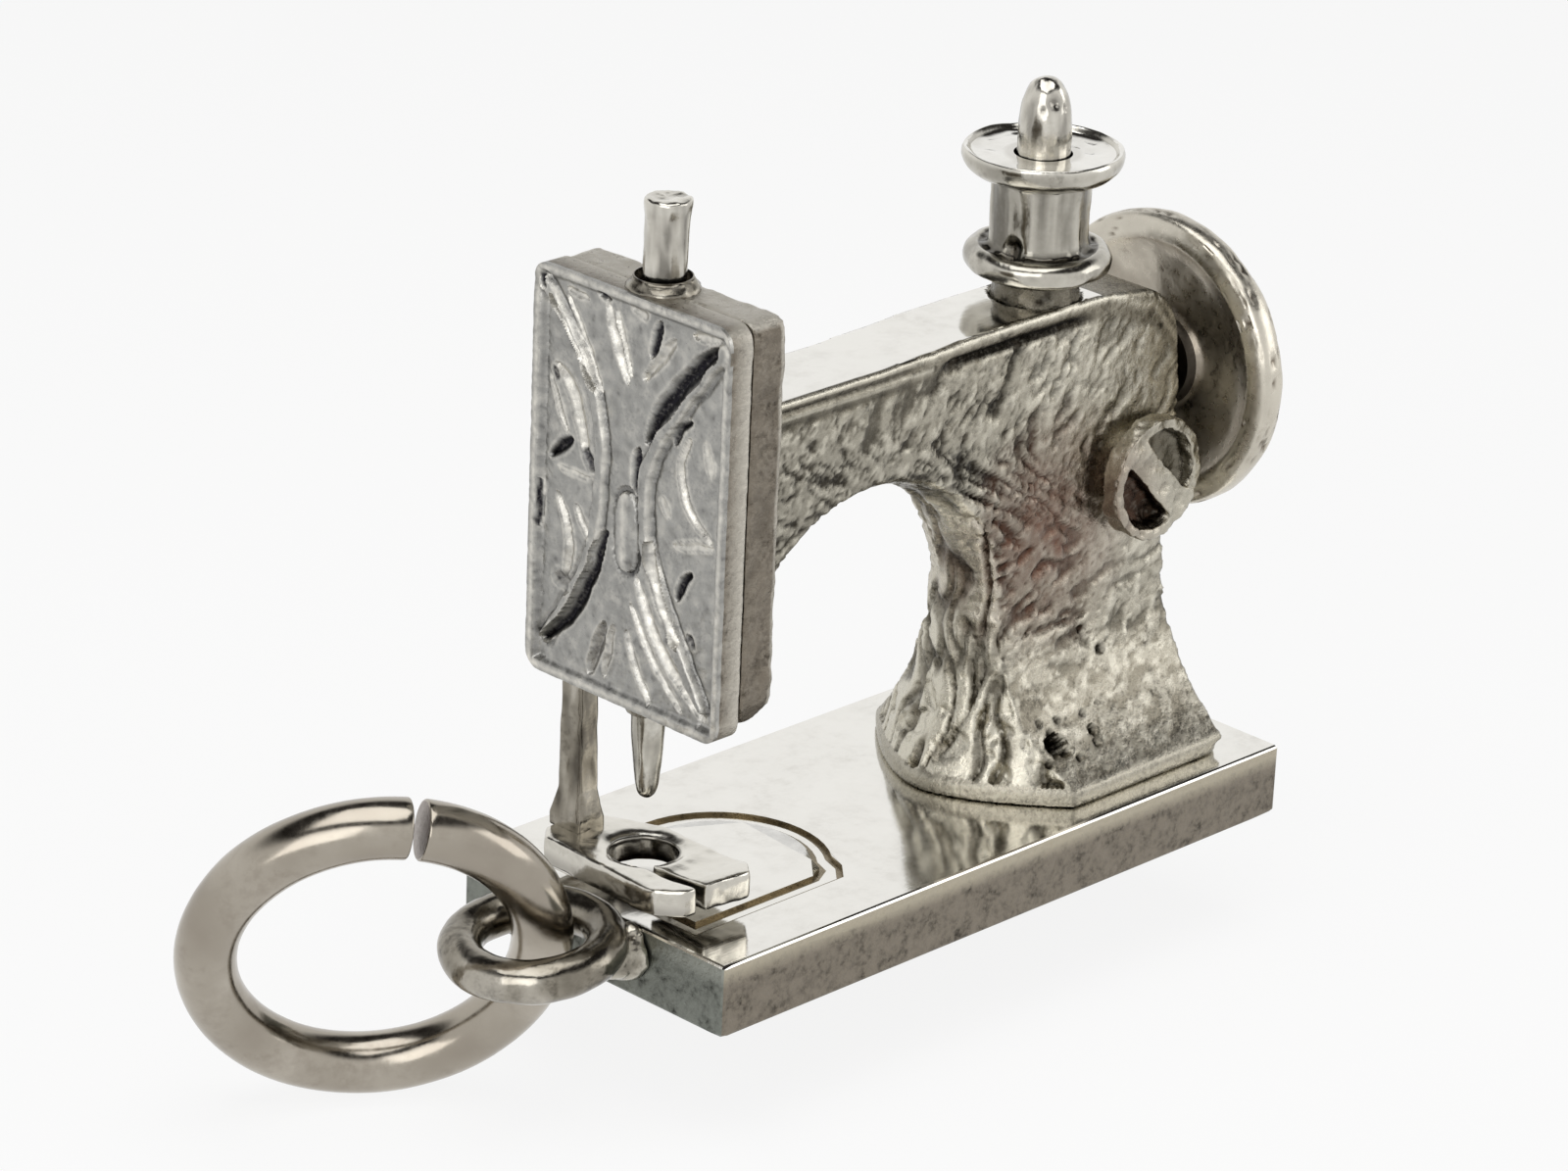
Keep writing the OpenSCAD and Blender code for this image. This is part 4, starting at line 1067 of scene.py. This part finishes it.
needleSettings = {
    "dents": (0.3, 0.02, 0.7, 2.5), "steps": 48,
    "profile": [(0, 7.6), (0.33, 7.6), (0.33, 7.6), (0.35, 7.4), (0.35, 5.4), (0.345, 5.1), (0.315, 4.6),
                (0.27, 4.1), (0.22, 3.74), (0.16, 3.60), (0.08, 3.55), (0, 3.545)],
}


def makeNeedle(s):
    obj = lathe("needlePoint", s, needleX)
    carve(obj, dented(*s["dents"]))
    finishPiece(obj, [tumbled], "needle_set", "needle", 40)


makeNeedle(needleSettings)

presserBarSettings = {
    "x": -7.0, "y": 1.55, "wide": 0.50, "deep": 0.60, "low": 2.3, "ankle": 1.5, "start": 0.3,
    "rises": [(0.22, 0.88), (0.35, 0.84), (0.9, 0.97), (1.2, 0.97), (1.18, 1.0)],  # each with its narrowing
    "edge": 0.07, "voxel": 0.035, "smoothing": 3, "dents": (0.5, 0.04, 0.8, 2.6),
}


def makePresserBar(s):
    size = (s["wide"] * s["ankle"], s["deep"] * s["ankle"], s["start"])
    obj = block("presserBar", (s["x"], s["y"], s["low"] + s["start"] / 2), size)
    editSome(obj, "FACE", lambda c, n: n.z > facing)
    for rise, size in s["rises"]:
        extrude(0, 0, rise)
        bpy.ops.transform.resize(value=(size, size, 1), center_override=metres(s["x"], s["y"], 0))
    objectMode()
    roundEdges(obj, s["edge"], 50)
    evenSkin(obj, s)
    carve(obj, dented(*s["dents"]))
    finishPiece(obj, [filmed], "machine", "presser_bar")


makePresserBar(presserBarSettings)

footSettings = {"voxel": 0.04, "smoothing": 34, "hole": (-6.81, -0.15), "holeRadius": 0.65, "toeFrom": -1.2,
                "toeLong": 1.1, "toeLift": 0.08, "dentSize": 0.9, "dentDepth": 0.035,
                # outward from the hole's radius: the rounding of its edge and the shade in it
                "edgeRounding": 0.07, "edgeAt": (0.02, 0.14), "shadeAt": (0.12, -0.02),
                "shadeHeights": (2.25, 1.9)}


def makePresserFoot(s):
    obj = evenSkin(skinOf("presser_foot", "presserFoot"), s)
    for v in obj.data.vertices:  # the toes turn up a little
        y = v.co.y / mm
        if y < s["toeFrom"]:
            v.co.z += mm * s["toeLift"] * step(s["toeFrom"], s["toeFrom"] - s["toeLong"], y)
    obj.data.update()

    def workedAt(p, n):
        ring = math.hypot(p.x - s["hole"][0], p.y - s["hole"][1]) - s["holeRadius"]
        above = max(0.0, n.z)
        share = hollow(clouds(p / s["dentSize"]))
        depth = s["edgeRounding"] * above * hump(*s["edgeAt"], ring) + s["dentDepth"] * share
        inHole = step(*s["shadeAt"], ring) * step(0.9, 0.5, n.z)
        below = step(*s["shadeHeights"], p.z) * step(0.5, 0.0, n.z)
        # painted shade in the hole and on the lower sides; painted light on the top
        return depth, max(inHole, 0.6 * below, 0.4 * share ** 2 * (1 - above)), 0.8 * above ** 3

    carve(obj, workedAt)
    finishPiece(obj, [rubbed], "machine", "presser_foot")


makePresserFoot(footSettings)

wheelSettings = {
    "x": 7.05, "z": 9.2, "hubRadius": 0.5, "hubShade": 1.05, "hubFade": 0.3, "steps": 128,
    "rimFrom": 2.62, "rimFade": (-0.12, 0.05), "nickSize": 0.22, "nickDepth": 0.05,
    "dentSize": 1.1, "dentDepth": 0.035, "lowShadeFrom": 0.8, "lowShadeTo": -2.4,
    "bossRadius": 1.0, "bossReach": 0.3,
    # radius and depth from the inner face's plane
    "profile": [(0.30, 0.15), (0.30, 0.15), (0.88, 0.15), (0.88, 0.15), (0.96, 0.24), (1.15, 0.36),
                (1.7, 0.34), (2.15, 0.26), (2.42, 0.13), (2.56, 0.03), (2.72, 0.0), (2.90, 0.02),
                (3.02, 0.08), (3.08, 0.20), (3.095, 0.36), (3.07, 0.52), (3.0, 0.63), (2.86, 0.69),
                (2.6, 0.70), (2.48, 0.66), (2.36, 0.60), (1.15, 0.60), (0.98, 0.64), (0.90, 0.70),
                (0.90, 0.70), (0.30, 0.70), (0.30, 0.70), (0.30, 0.15)],
}


def makeWheel(s):
    obj = lathe("handWheel", s, 0, 0)
    place = Matrix.Translation(Vector((s["x"], midY, s["z"])) * mm)  # turned upright, it is laid along +X
    obj.data.transform(place @ Matrix.Rotation(math.radians(90), 4, "Y"))
    obj.data.update()
    outward(obj)

    def workedAt(p, n):
        r = math.hypot(p.y - midY, p.z - s["z"])
        # in the hub by the column: painted shade
        if r < s["hubRadius"]:
            return 0.0, 0.8, 0.0
        share = hollow(clouds(p / s["dentSize"]))
        nick = step(0.35, 0.6, clouds(p / s["nickSize"], 2)) * (r > s["rimFrom"])
        inFace = max(0.0, -n.x)
        # painted shade: the inner face darker low down, and round the hub by the column
        low = 0.40 * inFace * step(s["lowShadeFrom"], s["lowShadeTo"], p.z - s["z"]) * (r < s["rimFrom"])
        hub = 0.7 * step(s["hubShade"] + s["hubFade"], s["hubShade"], r)
        rim = step(*s["rimFade"], r - s["rimFrom"])
        dark = max(0.5 * share ** 2, low, hub, 0.8 * nick)
        return s["dentDepth"] * share + s["nickDepth"] * nick, dark, 0.7 * rim * (1 - nick)

    carve(obj, workedAt)
    finishPiece(obj, [turned, shadedBlack], "wheel", "handwheel", 32)
    # the boss between wheel and column gets the painted shade, almost black
    paint(obj, lambda c, n: math.hypot(c.y - midY, c.z - s["z"]) < s["bossRadius"]
          and c.x < s["x"] + s["bossReach"])


makeWheel(wheelSettings)

# The spool's seat stands in the spool's shadow: its darkness is painted shade.
seatSettings = {
    "name": "spoolSeat", "node": "spool_seat", "slot": "polished_silver", "finish": cast, "degrees": 50,
    "x": spoolX, "bore": 0.7, "dents": (0.4, 0.05, 1.0), "darkness": 0.5, "pale": 0.0, "steps": 64,
    "profile": [(0.56, 11.30), (0.56, 11.30), (0.915, 11.30), (0.915, 11.30), (0.915, 11.42), (0.88, 11.60),
                (0.86, 11.76), (0.90, 11.88), (0.90, 11.88), (0.56, 11.88), (0.56, 11.88), (0.56, 11.30)],
}
makeCollar(seatSettings)

spoolSettings = {
    "bore": 0.75, "core": (12.52, 13.9), "coreRadius": 1.2, "coreShade": (0.10, 0.08), "fileGap": 0.42,
    "fileDepth": 0.07,
    "dentSize": 0.8, "dentDepth": 0.035,
    "pit": (-1.05, -0.20, 12.62), "pitSize": 0.20, "pitDepth": 0.18,  # x and y from the pin, and z
    "lipFrom": 14.2, "lip": (14.48, 0.07), "saucerFrom": 14.3, "steps": 96,
    "profile": [(0.585, 11.92), (0.585, 11.92), (1.10, 11.92), (1.30, 11.95), (1.44, 12.05), (1.50, 12.20),
                (1.49, 12.34), (1.40, 12.46), (1.26, 12.52), (1.08, 12.53), (1.05, 12.56), (1.05, 12.56),
                (1.03, 12.7), (1.02, 13.2), (1.04, 13.7), (1.06, 13.84), (1.06, 13.84), (1.20, 13.90),
                (1.40, 14.0), (1.55, 14.14), (1.62, 14.30), (1.625, 14.42), (1.59, 14.50), (1.54, 14.515),
                (1.48, 14.48), (1.40, 14.41), (1.1, 14.38), (0.585, 14.37), (0.585, 14.37), (0.585, 11.92)],
}


def makeSpool(s):
    obj = lathe("threadSpool", s, spoolX)
    low, high = s["core"]
    lowHalf, highHalf = s["coreShade"]

    def workedAt(p, n):
        dx, dy = p.x - spoolX, p.y - midY
        r = math.hypot(dx, dy)
        # inside the bore: painted shade
        if r < s["bore"]:
            return 0.0, 0.5, 0.0
        share = hollow(clouds(p / s["dentSize"]))
        depth, dark, bright = s["dentDepth"] * share, 0.35 * share ** 2, 0.35 * (1 - share)
        if low < p.z < high and r < s["coreRadius"]:  # upright facets and streaks left by the file
            streak = hollow(clouds(Vector((dx / s["fileGap"], dy / s["fileGap"], p.z * 0.25))))
            # edge: painted shade where the core meets the flanges
            edge = max(hump(low, lowHalf, p.z), hump(high, highHalf, p.z))
            depth += s["fileDepth"] * streak
            dark = max(0.75 * streak ** 2, 0.9 * edge)
            bright = 0.6 * (1 - streak) ** 2 * (1 - edge)
        # a painted highlight round the saucer's lip
        if p.z > s["lipFrom"]:
            bright += 0.6 * hump(*s["lip"], p.z)
        pit = math.dist((dx, dy, p.z), s["pit"])
        share = math.exp(-(pit / s["pitSize"]) ** 4)
        return depth + s["pitDepth"] * share, max(dark, 1.2 * share), bright * (1 - share)

    carve(obj, workedAt)
    finishPiece(obj, [tumbled, buffed], "thread_spool", "spool", 50)
    paint(obj, lambda c, n: n.z > 0.8 and c.z > s["saucerFrom"])  # the saucer on top is buffed


makeSpool(spoolSettings)

pinSettings = {
    "seenFrom": 14.3, "dents": (0.33, 0.03, 0.7, 3.0), "steps": 72,
    # x and y from the pin's middle, z, radius, depth
    "pits": [(-0.16, -0.38, 15.50, 0.11, 0.13), (-0.36, -0.26, 15.36, 0.06, 0.08),
             (-0.30, -0.22, 15.58, 0.05, 0.06), (0.02, -0.46, 15.40, 0.05, 0.05)],
    "profile": [(0, 10.52), (0.545, 10.52), (0.545, 10.52), (0.548, 14.5), (0.545, 14.95), (0.52, 15.25),
                (0.465, 15.52), (0.36, 15.75), (0.22, 15.885), (0.11, 15.93), (0, 15.935)],
}


def makePin(s):
    obj = lathe("spoolPin", s, spoolX)
    marks = dented(*s["dents"])

    def workedAt(p, n):
        # below, inside the spool: painted shade
        if p.z < s["seenFrom"]:
            return 0.0, 0.5, 0.0
        depth, dark, bright = marks(p, n)
        for dx, dy, z, r, deep in s["pits"]:
            share = math.exp(-((p.x - spoolX - dx) ** 2 + (p.y - midY - dy) ** 2 + (p.z - z) ** 2) / r ** 2)
            depth += deep * share
            dark += 1.5 * share
        return depth, dark, bright

    carve(obj, workedAt)
    finishPiece(obj, [rubbed], "machine", "spool_pin", 50)


makePin(pinSettings)

knobSettings = {
    "x": 5.57, "z": 7.47, "radius": 1.3, "front": -2.0, "back": -1.5, "neckEnd": -1.22, "neckRadius": 0.85,
    "rim": 0.28, "bar": 0.60, "turn": -45, "recess": 0.36, "recessSize": 0.92, "shadeFrom": 0.05,
    "shadeTo": 0.24, "voxel": 0.04, "smoothing": 20, "dentSize": 0.40, "dentDepth": 0.07,
}


def makeKnob(s):
    spot = metres(s["x"], (s["front"] + s["back"]) / 2, s["z"])
    bpy.ops.mesh.primitive_cylinder_add(vertices=72, radius=s["radius"] * mm, location=spot,
                                        depth=(s["back"] - s["front"]) * mm, rotation=(math.pi / 2, 0, 0))
    obj = startPiece("stitchKnob")
    editSome(obj, "FACE", lambda c, n: n.y < -facing)
    bpy.ops.mesh.inset(thickness=s["rim"] * mm)
    # the grip bar is left standing between two recesses
    turn = math.radians(s["turn"])
    across = Vector((-math.sin(turn), 0, math.cos(turn)))
    middle = Vector((s["x"], s["front"], s["z"]))
    reach = s["radius"] - s["rim"]
    for sign in (-1, 1):
        editSome(obj, "FACE", lambda c, n: n.y < -facing and (c - middle).length < reach)
        bpy.ops.mesh.bisect(plane_co=(middle + across * sign * s["bar"] / 2) * mm, plane_no=across)
    editSome(obj, "FACE", lambda c, n: n.y < -facing and (c - middle).length < reach * 0.84
             and abs((c - middle).dot(across)) > s["bar"] / 2)
    extrude(0, s["recess"], 0)
    bpy.ops.transform.resize(value=(s["recessSize"], 1, s["recessSize"]), center_override=middle * mm)
    # the neck behind
    editSome(obj, "FACE", lambda c, n: n.y > facing)
    bpy.ops.mesh.inset(thickness=(s["radius"] - s["neckRadius"]) * mm)
    extrude(0, s["neckEnd"] - s["back"], 0)
    outward(obj)
    evenSkin(obj, s)

    def workedAt(p, n):
        share = hollow(clouds(p / s["dentSize"] + Vector((1, 5, 3))))
        inFace = step(s["front"] + s["shadeFrom"], s["front"] + s["shadeTo"], p.y) * (n.y < 0.3)
        away = math.hypot(p.x - s["x"], p.z - s["z"])
        inside = away < s["radius"] - s["rim"] * 0.6
        lower = 1.0 if (p - middle).dot(across) < 0 else 0.45  # the lower recess is painted darker
        dark = max(inFace * inside * lower, 0.4 * share ** 2)
        # painted light: the knob's front faces and its rim's side are painted pale
        pale = max(0.6 * max(0.0, -n.y) ** 2 * (1 - inFace), 0.7 * (away > s["radius"] * 0.6) * (n.y > -0.3))
        return s["dentDepth"] * share, dark, pale * (1 - dark)

    carve(obj, workedAt)
    finishPiece(obj, [cast], "machine", "stitch_knob")


makeKnob(knobSettings)

# Nodes that keep their own shape and get a finish.
nodeFinish = {"needle_yoke": inner, "crank_disc": inner, "crank_pin": inner, "main_shaft": inner,
              # the wheel's collar, in the gap by the column, is painted almost black as shade
              "wheel_collar": shadedBlack, "shaft_rivet": turned}
for node, finish in nodeFinish.items():
    obj = frame["nodes"][node]
    obj.data.materials.clear()
    obj.data.materials.append(finish)
print("nodes given their finish:", len(nodeFinish))
